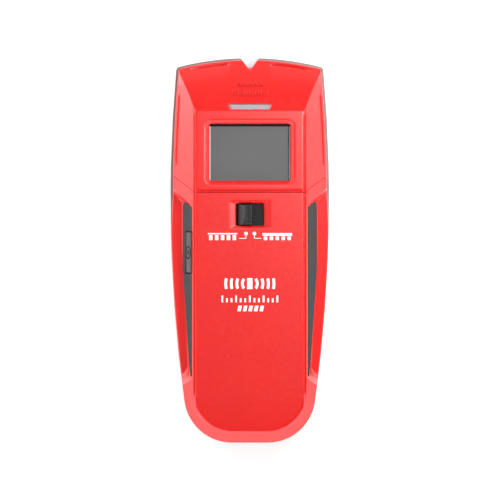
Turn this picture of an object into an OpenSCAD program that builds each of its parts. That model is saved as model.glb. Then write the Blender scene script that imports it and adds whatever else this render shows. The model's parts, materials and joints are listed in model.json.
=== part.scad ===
// Stud finder: a hand-held wall sensor with a display, a depth switch and a side scan key.
// It lies on its back: +Z points out of the front face and +Y towards the notched head.
// The origin is the middle of the footprint, on the plane of the glide pads.

/* [Body] */
// Length from the tail to the two points beside the notch
body_l = 160; // [158:0.5:162]
// Width at the widest place
body_w = 66; // [65:0.5:67]
// Height from the glide pads to the top of the front face
body_h = 30; // [29.5:0.5:32]
// Height of the plane where the grey rear shell meets the red front shells
parting_z = 11; // [10:0.5:12]
// Wall thickness of the shells
wall_t = 2; // [1.6:0.1:2.2]
// Width of the grey rim that shows around the red head
rim_w = 1; // [0.6:0.1:1.2]
// Thickness of the glide pads on the back
glide_t = 0.6; // [0.4:0.1:0.8]

/* [Front face] */
// Width of the raised face
face_w = 45.8; // [45:0.2:46.4]
// Angle at which the face falls towards the tail, in degrees
face_tilt = 1.1; // [0.8:0.1:1.3]
// Distance of the crease above the display from the middle of the body
nose_y = 57.7; // [57:0.1:58]
// Width of the pencil notch at its mouth
notch_w = 7.5; // [7:0.1:8]
// Depth of the pencil notch
notch_depth = 3.9; // [3.5:0.1:4.2]

/* [Display] */
// Width of the clear window
window_w = 33.5; // [32:0.5:34]
// Length of the clear window
window_l = 23.6; // [22:0.2:24]
// Distance of the window's middle from the middle of the body
window_y = 40.7; // [40.5:0.1:41]

/* [Controls] */
// Width of the opening that the switch knob slides in
slot_w = 11.5; // [11:0.1:12]
// Length of that opening along the body
slot_l = 9.3; // [9:0.1:9.6]
// Distance of the opening's middle from the middle of the body
slot_y = 14.9; // [14.5:0.1:15]
// Travel of the switch knob
switch_travel = 4.4; // [4:0.1:4.6]
// Length of the scan key
key_l = 17; // [16:0.5:17.5]
// Distance of the scan key's middle from the middle of the body
key_y = -0.85; // [-1.5:0.05:0]
// Travel of the scan key
key_travel = 0.8; // [0.5:0.1:0.9]

/* [Battery] */
// Width of the nine volt block battery
battery_w = 26.4; // [26:0.1:26.5]
// Thickness of the battery
battery_t = 17.4; // [17:0.1:17.5]
// Length of the battery without its terminals
battery_l = 46.4; // [46:0.1:46.5]

/* [Hidden] */

$fn = 32;
eps = 0.01;
big = 200;            // longer than the body, for cuts that run right through
diag = sqrt(2);       // a 45 degree face moves this far sideways per unit of inset

// Outline of the body in plan
side_r = 610;         // radius of the long curve of each side
widest_y = 21;        // where the body is widest
tail_r = 20;          // radius of the tail's corners
tail_a = 7.8;         // angle at which a tail corner runs into the side
tip_r = 120;          // radius of the head's end
shoulder_r = 1.7;     // radius of the head's corners
rim_low = 0.15;       // width of the rim around the handle
tail_y = tail_r - body_l / 2;
tail_end_y = tail_y - tail_r * sin(tail_a);
tail_x = half_w(tail_end_y) - tail_r * cos(tail_a);
tip_y = body_l / 2 - sqrt(tip_r * tip_r - notch_w * notch_w / 4);

// Heights of the front
face_hw = face_w / 2;
step_h = 0.6;         // height of the small step around the raised face
step_w = 0.3;
bevel_z = 21.8;       // lower edge of the 45 degree bevel around the tail
nose_slope = 0.32;    // slope of the nose face at its crease
nose_bend = 0.005;    // how fast that slope grows towards the head's end
tail_face_y = -65.5;  // where the front face starts to roll down to the tail
tail_face_drop = 1.4; // how much the face rolls down by the end of the body
seam_y = 24.35;       // joint between the two front shells
seam_slope = 0.765;   // slope of that joint across the side bevels
seam_gap = 0.2;

// Side recesses of the handle
recess_x = 23.7;      // top edge of a recess
recess_drop = 1.1;    // depth of that edge below the face
recess_slope = 3.1;   // steepness of the recess wall
recess_top_y = 18.5;
recess_low_y = -53.1;
recess_top_skew = 0.9;
recess_low_skew = -0.73;
foot_x = 27.9;        // foot of the recess wall near the head
foot_taper = 0.062;   // how fast the foot closes in towards the tail
foot_start_y = 2;
flange_edge_z = parting_z + 1.2;
inner_dx = 3;         // wall behind a recess, measured across the body
inner_dz = 2.2;       // thickness of the flange below a recess
pad_t = 1.3;          // thickness of a rubber grip
pad_proud = 0.3;      // how far a grip stands out of the recess wall
pad_gap = 0.1;

// Back
base_z = glide_t;
floor_z = base_z + wall_t;
base_chamfer = 1.6;

// Screws that close the body
screw_places = [[25.2, 67], [20.5, -15], [20.3, -66.5]];
screw_boss_tops = [24.4, 27.2, 24.4];
screw_head_r = 2.4;
screw_head_z = 3.6;
screw_l = 12;
screw_r = 1.25;
boss_r = 2.6;
rear_boss_r = 3.6;
rear_boss_z = 6;

// Boards
board_z = 21;
board_t = 1.6;
board_top = board_z + board_t;
board_tail_y = -12;
board_head_y = 62;
board_screw_places = [[21.8, 30], [21.8, 57]];
board_boss_r = 2.2;
sensor_z = 3;
sensor_t = 1.2;
sensor_hw = 20.5;
sensor_low_y = 24;
sensor_high_y = 73;
stake_places = [[17.5, 27], [17.5, 70]];
stake_r = 1.2;
stake_foot_r = 2.2;
stake_cap_r = 2;
stake_cap_t = 0.8;

// Half width of the flat floor of the pencil notch
notch_floor_hw = 1;

// Lap joint between the front shells, under the seam
lap_hw = 18;
lap_z = 26.2;
lap_high_y = 27.4;
lap_top_z = 28.2;
tongue_t = 0.9;
board_boss_top = 27.5;

// Sound slots in the back
sound_x = -11;
sound_y = 6;
sound_pitch = 2.4;
sound_slot_w = 1;
sound_slot_l = 9;

// Display stack
lcd_z = 24.4;
lcd_t = 1.8;
gasket_z = lcd_z + lcd_t;
lens_z = 26.5;
lens_t = 1.1;
pocket_gap = 0.02;    // clearance around a piece held in a pocket
bezel_w = 1.55;
bezel_depth = 1.6;

// Scan key
key_low_z = 19.8;
key_high_z = 26.2;
key_gap = 0.25;
key_proud = 0.55;
key_flange_x = 20.9;
key_flange_t = 0.8;
tact_z = 24.4;
tact_r = 1.2;
tact_x = 17;
bore_gap = 0.1;

// Mode switch
knob_w = 5.9;
knob_l = 8.6;
knob_x = -switch_travel / 2;
knob_top_z = 29.9;
skirt_z = 26;
skirt_t = 0.7;
lever_w = 2;
lever_top_z = 28.4;

// Battery well and door
well_hw = 14.3;
well_wall = 1.6;
well_low_y = -69;
well_high_y = -15.4;
well_top_z = 21.6;
well_roof_t = 1.3;
lead_pass_hw = 4;
lead_pass_z = 17.2;
battery_low_y = -68.8;
battery_z = 4;
door_hw = 15.4;
door_gap = 0.2;
door_t = 1.8;
door_high_y = -15.9;
hinge_y = -67.2;
hinge_z = 1.9;
knuckle_r = 1.3;
pin_r = 0.8;
pin_gap = 0.06;
pin_l = 1.8;
latch_hw = 5;
latch_l = 8;
battery_mid_z = battery_z + battery_t / 2;
stud_x = 6.35;        // half the spacing of the battery's terminals
stud_y = battery_low_y + battery_l;
stud_h = 2.6;
snap_low_y = stud_y + 1.1;
snap_t = 3.2;
lead_r = 0.65;
lead_x = 2.5;
// Route of a battery lead from the snap to the board, as [y, z]
lead_route = [[-18.2, 13], [-17.4, 13], [-16.6, 14.1], [-16.4, 16], [-16.2, 17.8],
              [-15.2, 19.2], [-13.5, 19.7], [-11.5, 19.7], [-9.6, 19.85], [-9, 20.3], [-9, 20.95]];

// Colours
red = [0.90, 0.17, 0.15];
grey = [0.55, 0.56, 0.56];
dark = [0.20, 0.21, 0.21];
rubber = [0.27, 0.29, 0.29];
board_green = [0.10, 0.35, 0.20];
steel = [0.72, 0.73, 0.75];
copper = [0.80, 0.48, 0.28];

// ---- Curves of the body ----

// Half width of the outline at a distance along the body
function half_w(y) = body_w / 2 - pow(y - widest_y, 2) / (2 * side_r);

// Height of the front face, and of the nose face above the crease
function face_z(y) = body_h - (nose_y - y) * tan(face_tilt);
function nose_z(y) = body_h - nose_slope * (y - nose_y) - nose_bend * pow(y - nose_y, 2);

// Inset of the side, blending from the handle's value to the head's
function side_inset(y, low, high) = low + (high - low) * min(1, max(0, (y - 8) / 16));

// Centre of a head corner: it settles in a few rounds because the side is nearly straight
function shoulder_y(d, r, n = 4) = n == 0 ? 74 :
    tip_y + sqrt(pow(tip_r - d - r, 2) - pow(half_w(shoulder_y(d, r, n - 1)) - d - r, 2));

// Right half of the outline, from the tail to the head, inset by low at the tail and high at the head
function outline_half(low, high) =
    let (tail_steps = 12, side_steps = 14, tip_steps = 7)
    let (rt = tail_r - low, rs = max(0.5, shoulder_r - high))
    let (sy = shoulder_y(high, rs), sx = half_w(sy) - high - rs)
    let (tip_a = asin(sx / (tip_r - high - rs)))
    concat(
        [for (i = [0:tail_steps]) let (a = -90 + i * (90 - tail_a) / tail_steps)
            [tail_x + rt * cos(a), tail_y + rt * sin(a)]],
        [for (i = [1:side_steps - 1]) let (y = tail_end_y + i * (sy - tail_end_y) / side_steps)
            [half_w(y) - side_inset(y, low, high), y]],
        [for (i = [0:4]) let (a = 5 + i * (85 - tip_a) / 4) [sx + rs * cos(a), sy + rs * sin(a)]],
        [for (i = [1:tip_steps]) let (a = tip_a * (1 - i / (tip_steps + 0.5)))
            [(tip_r - high) * sin(a), tip_y + (tip_r - high) * cos(a)]]);

function mirrored(points) = [for (i = [len(points) - 1:-1:0]) [-points[i][0], points[i][1]]];

module plan(low, high)
{
    half = outline_half(low, high);
    polygon(concat(half, mirrored(half)));
}

// Closed solid through rings that all have the same number of points
module skin(rings)
{
    n = len(rings[0]);
    last = (len(rings) - 1) * n;
    polyhedron(
        points = [for (ring = rings) each ring],
        faces = concat(
            [[for (i = [0:n - 1]) i]],
            [for (j = [0:len(rings) - 2], i = [0:n - 1]) let (a = j * n + i, b = j * n + (i + 1) % n)
                each [[a, a + n, b + n], [a, b + n, b]]],
            [[for (i = [n - 1:-1:0]) last + i]]));
}

// Rectangle with round corners, as one outline
module round_rect(w, h, r)
{
    steps = 5;
    corners = [[w / 2 - r, h / 2 - r, 0], [r - w / 2, h / 2 - r, 90],
               [r - w / 2, r - h / 2, 180], [w / 2 - r, r - h / 2, 270]];
    polygon([for (c = corners, i = [0:steps]) let (a = c[2] + 90 * i / steps)
        [c[0] + r * cos(a), c[1] + r * sin(a)]]);
}

// Prism of a shape drawn as [y, z], along X from x0 to x1
module along_x(x0, x1)
{
    translate([x0, 0, 0]) rotate([90, 0, 90]) linear_extrude(x1 - x0) children();
}

// Prism of a shape drawn as [x, z], along Y from y0 to y1
module along_y(y0, y1)
{
    translate([0, y1, 0]) rotate([90, 0, 0]) linear_extrude(y1 - y0) children();
}

module both_sides()
{
    children();
    mirror([1, 0, 0]) children();
}

module block(low, high)
{
    translate(low) cube(high - low);
}

// ---- Front body ----

// Raised face with its step and the two 45 degree side bevels, as [x, z] below the face
module face_section(d)
{
    x0 = face_hw - (diag - 1) * d;
    drop = 30;
    right = d > 0 ? [[x0 + drop, -d - drop], [x0, -d]]
                  : [[face_hw + step_w + drop, -step_h - drop], [face_hw + step_w, -step_h], [face_hw, 0]];
    polygon(concat(right, mirrored(right)));
}

// Side view of the front: face, nose and tail, as [y, z]
module face_profile(d)
{
    steps = 6;
    end_y = body_l / 2 + 2;
    tail_z = face_z(tail_face_y) - tail_face_drop;
    polygon(concat(
        [[-body_l / 2 - 2, 0], [end_y, 0]],
        [for (i = [0:steps]) let (y = end_y + i * (nose_y - end_y) / steps) [y, nose_z(y) - d]],
        [[tail_face_y, face_z(tail_face_y) - d], [-body_l / 2 - 2, tail_z - d]]));
}

// Everything inside the front surfaces, inset by d, from z0 upwards
module front_body(d, z0)
{
    intersection()
    {
        hull()
        {
            translate([0, 0, z0]) linear_extrude(bevel_z - (diag - 1) * d - z0)
                plan(rim_low + d, rim_w + d);
            translate([0, 0, body_h]) linear_extrude(eps)
                plan(rim_low + body_h - bevel_z + diag * d, rim_w + body_h - bevel_z + diag * d);
        }
        translate([0, nose_y, body_h]) rotate([face_tilt, 0, 0])
            along_y(-big, big / 2) face_section(d);
        along_x(-big / 2, big / 2) face_profile(d);
    }
}

// Foot of the recess wall
function foot_x_at(y) = foot_x - foot_taper * max(0, foot_start_y - y);
function foot_z_at(y) = face_z(y) - recess_drop - (foot_x_at(y) - recess_x) * recess_slope;
function recess_wall_x(y, z) = recess_x + (face_z(y) - recess_drop - z) / recess_slope;

// Right-hand recess beside the handle, moved inwards by dx and down by dz
module recess(dx, dz)
{
    over = 4;
    grow = dx * 0.7;
    stations = [[recess_top_y + grow, recess_top_skew], [13, 0], [foot_start_y, 0], [-10, 0],
                [-22, 0], [-34, 0], [-46, 0], [recess_low_y - grow, recess_low_skew]];
    skin([for (s = stations)
        let (y = s[0], w = half_w(y), x = foot_x_at(y), z = foot_z_at(y), top = face_z(y) + 3)
        let (edge = flange_edge_z - (z - flange_edge_z) / (w - x) * over)
        let (ring = [[recess_x - dx, face_z(y) - recess_drop], [x - dx, z - dz],
                     [w + over, edge - dz], [w + over, top], [recess_x - dx, top]])
        [for (p = ring) [p[0], y + s[1] * (p[0] - recess_x + dx), p[1]]]]);
}

// Plan of everything on the head's side of the joint between the front shells
module head_side(shift)
{
    reach = 40;
    y0 = seam_y + shift;
    y1 = y0 + seam_slope * (reach - face_hw);
    translate([0, 0, -1]) linear_extrude(body_h + 5)
        polygon([[-face_hw, y0], [face_hw, y0], [reach, y1], [reach, big], [-reach, big], [-reach, y1]]);
}

// Pencil notch, grown by d
module notch(d)
{
    reach = 8;
    slope = (notch_w / 2 - notch_floor_hw) / notch_depth;
    low_y = body_l / 2 - notch_depth - d;
    low_hw = notch_floor_hw + d * (sqrt(1 + slope * slope) - slope);
    high_hw = low_hw + reach * slope;
    translate([0, 0, -1]) linear_extrude(body_h + 5)
        polygon([[-low_hw, low_y], [low_hw, low_y], [high_hw, low_y + reach], [-high_hw, low_y + reach]]);
}

// Solid wall that closes the shells around the notch
module notch_wall(d, z0, z1)
{
    intersection()
    {
        notch(1.5);
        translate([0, 0, z0]) linear_extrude(z1 - z0) plan(d, d);
    }
}

module screw_bosses(places, tops)
{
    for (i = [0:len(places) - 1])
        both_sides()
            translate([places[i][0], places[i][1], rear_boss_z + seam_gap])
                cylinder(r = boss_r, h = tops[i] - rear_boss_z);
}

module screw_bores(places)
{
    for (p = places)
        both_sides()
            translate([p[0], p[1], 0]) cylinder(r = screw_r + 0.05, h = screw_head_z + screw_l + 1);
}

// Tapered opening around the display, from the face down to the window
module display_opening()
{
    z = face_z(window_y);
    hull()
    {
        translate([0, window_y, z - bezel_depth])
            linear_extrude(eps) round_rect(window_w, window_l, 0.8);
        translate([0, window_y, z + 1])
            linear_extrude(eps) round_rect(window_w + 4 * bezel_w, window_l + 4 * bezel_w, 1.6);
    }
    translate([0, window_y, lens_z]) linear_extrude(5) round_rect(window_w, window_l, 0.8);
}

// Trapezoid of the indicator light, seen from the front
module light_shape(d)
{
    low_y = 58.2;
    high_y = 60.7;
    low_hw = 7.85;
    high_hw = 8.7;
    polygon([[low_hw + d, low_y - d], [high_hw + d, high_y + d],
             [-high_hw - d, high_y + d], [-low_hw - d, low_y - d]]);
}

module upper_front_shell()
{
    tongue_y = 21;
    color(red) difference()
    {
        union()
        {
            difference()
            {
                front_body(0, parting_z);
                front_body(wall_t, parting_z - 1);
            }
            intersection()
            {
                notch_wall(rim_w, parting_z, body_h);
                along_x(-big / 2, big / 2) face_profile(0);
            }
            screw_bosses([screw_places[0]], [screw_boss_tops[0]]);
            for (p = board_screw_places)
                both_sides()
                    translate([p[0], p[1], board_top])
                        cylinder(r = board_boss_r, h = board_boss_top - board_top);
            block([-lap_hw, seam_y + 0.4, lap_z], [lap_hw, lap_high_y, lap_top_z]);
        }
        difference()
        {
            block([-big, -big, 0], [big, 40, body_h + 5]);
            head_side(seam_gap / 2);
        }
        notch(0);
        display_opening();
        translate([0, window_y, gasket_z]) linear_extrude(lens_z + lens_t + pocket_gap - gasket_z)
            round_rect(window_w + 2.8, window_l + 2.2, 1);
        translate([0, 0, 20]) linear_extrude(15) light_shape(0.05);
        screw_bores([screw_places[0]]);
        for (p = board_screw_places)
            both_sides() translate([p[0], p[1], board_z]) cylinder(r = 0.9, h = 5.8);
    }
    color(red) block([-lap_hw, tongue_y, lap_z], [lap_hw, seam_y + 0.5, lap_z + tongue_t]);
}

module key_opening(d)
{
    block([-40, key_y - key_l / 2 - d, key_low_z - d], [-18, key_y + key_l / 2 + d, key_high_z + d]);
}

module slot_opening()
{
    z = face_z(slot_y);
    hull()
    {
        translate([0, slot_y, z - bezel_depth]) linear_extrude(eps) round_rect(slot_w, slot_l, 0.5);
        translate([0, slot_y, z]) linear_extrude(1) round_rect(slot_w + 4.6, slot_l + 1.5, 0.8);
    }
    translate([0, slot_y, skirt_z]) linear_extrude(5) round_rect(slot_w, slot_l, 0.5);
}

module lower_front_shell()
{
    color(red) difference()
    {
        union()
        {
            difference()
            {
                front_body(0, parting_z);
                both_sides() recess(0, 0);
                difference()
                {
                    front_body(wall_t, parting_z - 1);
                    both_sides() recess(inner_dx, inner_dz);
                }
            }
            screw_bosses([screw_places[1], screw_places[2]], [screw_boss_tops[1], screw_boss_tops[2]]);
        }
        head_side(-seam_gap / 2);
        both_sides() grip_pad(pad_gap);
        key_opening(key_gap);
        slot_opening();
        screw_bores([screw_places[1], screw_places[2]]);
    }
}

// Rubber pad on the right-hand recess wall, grown by d
module grip_pad(d)
{
    stations = [[recess_top_y - 0.7 + d, recess_top_skew], [10, 0], [foot_start_y, 0], [-10, 0],
                [-22, 0], [-34, 0], [-44, 0], [recess_low_y + 1.2 - d, recess_low_skew]];
    skin([for (s = stations)
        let (y = s[0], top = face_z(y) - 2 + d, low = foot_z_at(y) + 0.5 - d)
        let (out_top = recess_wall_x(y, top) + pad_proud + d, out_low = recess_wall_x(y, low) + pad_proud + d)
        let (ring = [[out_top - pad_t - 2 * d, top], [out_low - pad_t - 2 * d, low],
                     [out_low, low], [out_top, top]])
        [for (p = ring) [p[0], y + s[1] * (p[0] - recess_x), p[1]]]]);
}

module left_grip()
{
    color(rubber) difference()
    {
        mirror([1, 0, 0]) grip_pad(0);
        block([-40, key_y - key_l / 2 - key_gap, key_low_z - key_gap],
              [-18, key_y + key_l / 2 + key_gap, body_h]);
    }
}

module right_grip()
{
    color(rubber) grip_pad(0);
}

// ---- Rear shell ----

module rear_outside()
{
    hull()
    {
        translate([0, 0, base_z]) linear_extrude(eps) plan(base_chamfer, base_chamfer);
        translate([0, 0, base_z + base_chamfer]) linear_extrude(parting_z - base_z - base_chamfer) plan(0, 0);
    }
}

module rear_shell()
{
    notch_z = parting_z - 0.05;
    color(grey) difference()
    {
        union()
        {
            difference()
            {
                rear_outside();
                translate([0, 0, floor_z]) linear_extrude(parting_z) plan(wall_t + 0.2, wall_t + rim_w);
            }
            notch_wall(base_chamfer, floor_z - 0.5, notch_z);
            block([-well_hw - well_wall, well_low_y - well_wall, floor_z - 0.5],
                  [well_hw + well_wall, well_high_y + well_wall, well_top_z + well_roof_t]);
            both_sides() block([door_hw - 1, hinge_y - 3, floor_z - 0.5], [door_hw + 4, hinge_y + 3, 4.6]);
            for (p = screw_places)
                both_sides() translate([p[0], p[1], base_z + 0.5])
                    cylinder(r = rear_boss_r, h = rear_boss_z - base_z - 0.5);
            for (p = stake_places)
                both_sides()
                {
                    translate([p[0], p[1], floor_z - 0.5])
                        cylinder(r = stake_foot_r, h = sensor_z - floor_z + 0.5);
                    translate([p[0], p[1], floor_z]) cylinder(r = stake_r, h = 3);
                    translate([p[0], p[1], sensor_z + sensor_t + 0.05])
                        cylinder(r = stake_cap_r, h = stake_cap_t);
                }
        }
        block([-well_hw, well_low_y, floor_z - 0.2], [well_hw, well_high_y, well_top_z]);
        block([-door_hw - door_gap, hinge_y - knuckle_r - door_gap, -1],
              [door_hw + door_gap, door_high_y + door_gap, floor_z]);
        block([-well_hw, hinge_y - knuckle_r - door_gap, 0], [well_hw, hinge_y + 2, floor_z + 2]);
        both_sides() block([well_hw - 1, hinge_y - knuckle_r - door_gap, 0],
                           [door_hw + door_gap, hinge_y + knuckle_r + door_gap,
                            hinge_z + knuckle_r + door_gap]);
        along_x(-door_hw - pin_l - 0.2, door_hw + pin_l + 0.2)
            translate([hinge_y, hinge_z]) circle(r = pin_r + pin_gap);
        block([-lead_pass_hw, well_high_y - 1, lead_pass_z],
              [lead_pass_hw, well_high_y + well_wall + 1, well_top_z]);
        translate([0, door_high_y, -1]) cylinder(r = latch_hw + 1, h = base_z + 1.8);
        for (p = screw_places)
            both_sides()
            {
                translate([p[0], p[1], -1]) cylinder(r = screw_head_r + 0.4, h = screw_head_z + 1);
                translate([p[0], p[1], 0]) cylinder(r = screw_r + 0.25, h = 9);
            }
        for (i = [-1:1])
            translate([sound_x + i * sound_pitch, sound_y, -1]) linear_extrude(floor_z + 2)
                round_rect(sound_slot_w, sound_slot_l, 0.45);
        notch(0);
    }
}

module glide_pads()
{
    color(dark)
    {
        translate([0, 72.6, 0]) linear_extrude(glide_t) round_rect(36, 3.4, 1.2);
        translate([0, -74.6, 0]) linear_extrude(glide_t) round_rect(24, 3.4, 1.2);
        both_sides() translate([26, 30, 0]) linear_extrude(glide_t) round_rect(3.4, 30, 1.2);
    }
}

module shell_screws()
{
    color(steel) for (p = screw_places)
        both_sides() translate([p[0], p[1], 0])
        {
            difference()
            {
                translate([0, 0, screw_head_z - 1.7]) cylinder(r = screw_head_r, h = 1.7);
                block([-1.7, -0.3, 0], [1.7, 0.3, screw_head_z - 0.8]);
                block([-0.3, -1.7, 0], [0.3, 1.7, screw_head_z - 0.8]);
            }
            translate([0, 0, screw_head_z - 0.2]) cylinder(r = screw_r, h = screw_l);
        }
}

// ---- Display ----

module display_lens()
{
    color([0.75, 0.80, 0.82]) translate([0, window_y, lens_z])
        linear_extrude(lens_t) round_rect(window_w + 2.6, window_l + 2, 1);
}

module display_gasket()
{
    color(dark) difference()
    {
        translate([0, window_y, gasket_z]) linear_extrude(lens_z - gasket_z)
            round_rect(window_w + 2.6, window_l + 2, 1);
        translate([0, window_y, gasket_z - 1]) linear_extrude(3)
            round_rect(window_w + 0.4, window_l + 0.4, 0.8);
    }
}

module lcd_glass()
{
    color([0.48, 0.50, 0.48]) block([-17.8, 28.1, lcd_z], [17.8, 53.3, gasket_z]);
}

module lcd_frame()
{
    color("white") difference()
    {
        block([-19.3, 26.9, board_top], [19.3, 54.5, gasket_z - 0.1]);
        block([-17.9, 28, board_top - 1], [17.9, 53.4, body_h]);
    }
}

module backlight()
{
    color([0.92, 0.94, 0.90]) block([-17.2, 30.3, board_top + 0.1], [17.2, 51.2, lcd_z - 0.1]);
}

module contact_strips()
{
    color([0.85, 0.55, 0.60]) for (y = [28.3, 51.8])
        block([-16, y, board_top], [16, y + 1.4, lcd_z]);
}

module light_window()
{
    color([0.85, 0.83, 0.80]) intersection()
    {
        translate([0, 0, board_top + 1]) linear_extrude(15) light_shape(0);
        along_x(-big / 2, big / 2) face_profile(0.1);
    }
}

module indicator_leds()
{
    color([0.95, 0.92, 0.70]) for (x = [-5, 0, 5])
        block([x - 0.8, 59, board_top], [x + 0.8, 60, board_top + 0.8]);
}

// ---- Boards and their parts ----

module main_board()
{
    tail_hw = 17;
    head_hw = 24;
    wide_y = 26;
    color(board_green) difference()
    {
        translate([0, 0, board_z]) linear_extrude(board_t)
            polygon([[tail_hw, board_tail_y], [tail_hw, wide_y], [head_hw, wide_y], [head_hw, board_head_y],
                     [-head_hw, board_head_y], [-head_hw, wide_y], [-tail_hw, wide_y], [-tail_hw, board_tail_y]]);
        for (p = board_screw_places)
            both_sides() translate([p[0], p[1], board_z - 1]) cylinder(r = 1.1, h = board_t + 2);
    }
}

module board_screws()
{
    color(steel) for (p = board_screw_places)
        both_sides() translate([p[0], p[1], board_z - 1.2])
        {
            cylinder(r = 1.8, h = 1.2);
            cylinder(r = 0.85, h = 6.5);
        }
}

module controller_chip()
{
    color(dark) block([-5, 35, board_z - 1.4], [5, 45, board_z]);
}

module crystal()
{
    color(steel) translate([0, 29.5, board_z - 3.5]) linear_extrude(3.5) round_rect(11, 4.6, 2.2);
}

module capacitors()
{
    color([0.15, 0.20, 0.45]) for (p = [[-14, 38], [-14, 47]])
        translate([p[0], p[1], board_z - 6.5]) cylinder(r = 3.1, h = 6.5);
}

module buzzer_case()
{
    buzzer_low = board_z - 6;
    color(dark) translate([-11, 6, buzzer_low]) difference()
    {
        cylinder(r = 5.9, h = 6);
        translate([0, 0, 0.8]) cylinder(r = 5.1, h = 4.4);
        translate([0, 0, -1]) cylinder(r = 1, h = 3);
    }
}

module buzzer_disc()
{
    color(copper) translate([-11, 6, board_z - 4]) cylinder(r = 5, h = 0.4);
}

module sensor_board()
{
    color(board_green) difference()
    {
        block([-sensor_hw, sensor_low_y, sensor_z], [sensor_hw, sensor_high_y, sensor_z + sensor_t]);
        for (p = stake_places)
            both_sides() translate([p[0], p[1], sensor_z - 1]) cylinder(r = stake_r + 0.1, h = sensor_t + 2);
    }
}

module sensor_electrodes()
{
    plate_w = 11;
    color(copper) for (i = [-1:1])
        translate([i * (plate_w + 1.4), (sensor_low_y + sensor_high_y) / 2, sensor_z - 0.1])
            linear_extrude(0.1) round_rect(plate_w, 36, 1);
}

module amplifier_chips()
{
    color(dark) for (p = [[-9, 40], [-9, 60]])
        block([p[0] - 2.5, p[1] - 2, sensor_z + sensor_t], [p[0] + 2.5, p[1] + 2, sensor_z + sensor_t + 1.6]);
}

module chip_resistors()
{
    color([0.25, 0.25, 0.28]) for (i = [0:3], j = [0:1])
        translate([-3 + i * 2.4, 40 + j * 19, sensor_z + sensor_t]) cube([1.2, 2, 0.5]);
}

module ribbon_connectors()
{
    color([0.93, 0.91, 0.85])
    {
        block([7, 48, sensor_z + sensor_t], [17, 52, sensor_z + sensor_t + 2]);
        block([7, 48, board_z - 2], [17, 52, board_z]);
    }
}

module ribbon_cable()
{
    color([0.90, 0.90, 0.88]) block([8, 49.85, sensor_z + sensor_t + 2], [16, 50.15, board_z - 2]);
}

// ---- Scan key ----

module scan_key()
{
    low_x = recess_wall_x(key_y, key_low_z) + key_proud;
    high_x = recess_wall_x(key_y, key_high_z) + key_proud;
    color([0.45, 0.46, 0.46])
    {
        along_y(key_y - key_l / 2, key_y + key_l / 2)
            polygon([[-low_x, key_low_z], [-key_flange_x + 0.1, key_low_z],
                     [-key_flange_x + 0.1, key_high_z], [-high_x, key_high_z]]);
        block([-key_flange_x, key_y - key_l / 2 - 1, key_low_z - 0.8],
              [-key_flange_x + key_flange_t, key_y + key_l / 2 + 1, key_high_z + 0.3]);
    }
}

module key_plunger()
{
    color(dark) translate([key_flange_t - key_flange_x, key_y, tact_z]) rotate([0, 90, 0])
        cylinder(r = tact_r, h = key_flange_x - key_flange_t - tact_x + 1);
}

module key_switch_body()
{
    color(steel) difference()
    {
        block([-tact_x, key_y - 3, board_top], [-tact_x + 4, key_y + 3, board_top + 3.6]);
        translate([-tact_x - 1, key_y, tact_z]) rotate([0, 90, 0]) cylinder(r = tact_r + bore_gap, h = 3.2);
    }
}

// ---- Mode switch ----

module mode_knob()
{
    skirt_hw = slot_w / 2 + switch_travel / 2 + 0.4;
    rib_depth = 0.6;
    color(dark) difference()
    {
        union()
        {
            block([knob_x - skirt_hw, slot_y - slot_l / 2 - 1, skirt_z],
                  [knob_x + skirt_hw, slot_y + slot_l / 2 + 1, skirt_z + skirt_t]);
            block([knob_x - knob_w / 2, slot_y - knob_l / 2, skirt_z],
                  [knob_x + knob_w / 2, slot_y + knob_l / 2, knob_top_z]);
        }
        for (i = [-1:1])
            block([knob_x + i * 1.5 - 0.35, slot_y - knob_l / 2 - 1, knob_top_z - rib_depth],
                  [knob_x + i * 1.5 + 0.35, slot_y + knob_l / 2 + 1, knob_top_z + 1]);
        block([knob_x - lever_w / 2 - 0.1, slot_y - lever_w / 2 - 0.1, skirt_z - 1],
              [knob_x + lever_w / 2 + 0.1, slot_y + lever_w / 2 + 0.1, lever_top_z + 0.1]);
    }
}

module slide_switch_body()
{
    slot_hw = lever_w / 2 + switch_travel / 2 + 0.3;
    color(steel) difference()
    {
        block([-6.5, slot_y - 3, board_top], [6.5, slot_y + 3, skirt_z - 0.3]);
        block([-slot_hw, slot_y - lever_w / 2 - 0.2, board_top + 1],
              [slot_hw, slot_y + lever_w / 2 + 0.2, body_h]);
    }
}

module slide_switch_lever()
{
    color("white") block([knob_x - lever_w / 2, slot_y - lever_w / 2, board_top + 1.2],
                         [knob_x + lever_w / 2, slot_y + lever_w / 2, lever_top_z]);
}

// ---- Battery ----

module battery_case()
{
    color([0.15, 0.15, 0.17]) along_y(battery_low_y, stud_y)
        translate([0, battery_mid_z]) round_rect(battery_w, battery_t, 1.5);
}

module battery_terminals()
{
    color(steel) both_sides() translate([stud_x, stud_y, battery_mid_z])
        rotate([-90, 0, 0]) cylinder(r = 2.9, h = stud_h);
}

module battery_snap()
{
    color(dark) difference()
    {
        along_y(snap_low_y, snap_low_y + snap_t)
            translate([0, battery_mid_z]) round_rect(25, 11, 4);
        both_sides() translate([stud_x, stud_y, battery_mid_z])
            rotate([-90, 0, 0]) cylinder(r = 3, h = stud_h + 0.1);
        block([-lead_x - 1, -18.2, 11], [lead_x + 1, -17, 20]);
    }
}

// Tube along a route of [y, z] points at one x
module lead(x, route, r)
{
    sides = 8;
    last = len(route) - 1;
    skin([for (i = [0:last])
        let (a = route[max(0, i - 1)], b = route[min(last, i + 1)])
        let (d = (b - a) / norm(b - a), p = route[i])
        [for (k = [0:sides - 1]) let (t = 360 * k / sides)
            [x - r * cos(t), p[0] - d[1] * r * sin(t), p[1] + d[0] * r * sin(t)]]]);
}

module red_lead()
{
    color([0.80, 0.10, 0.10]) lead(-lead_x, lead_route, lead_r);
}

module black_lead()
{
    color([0.10, 0.10, 0.10]) lead(lead_x, lead_route, lead_r);
}

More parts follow.
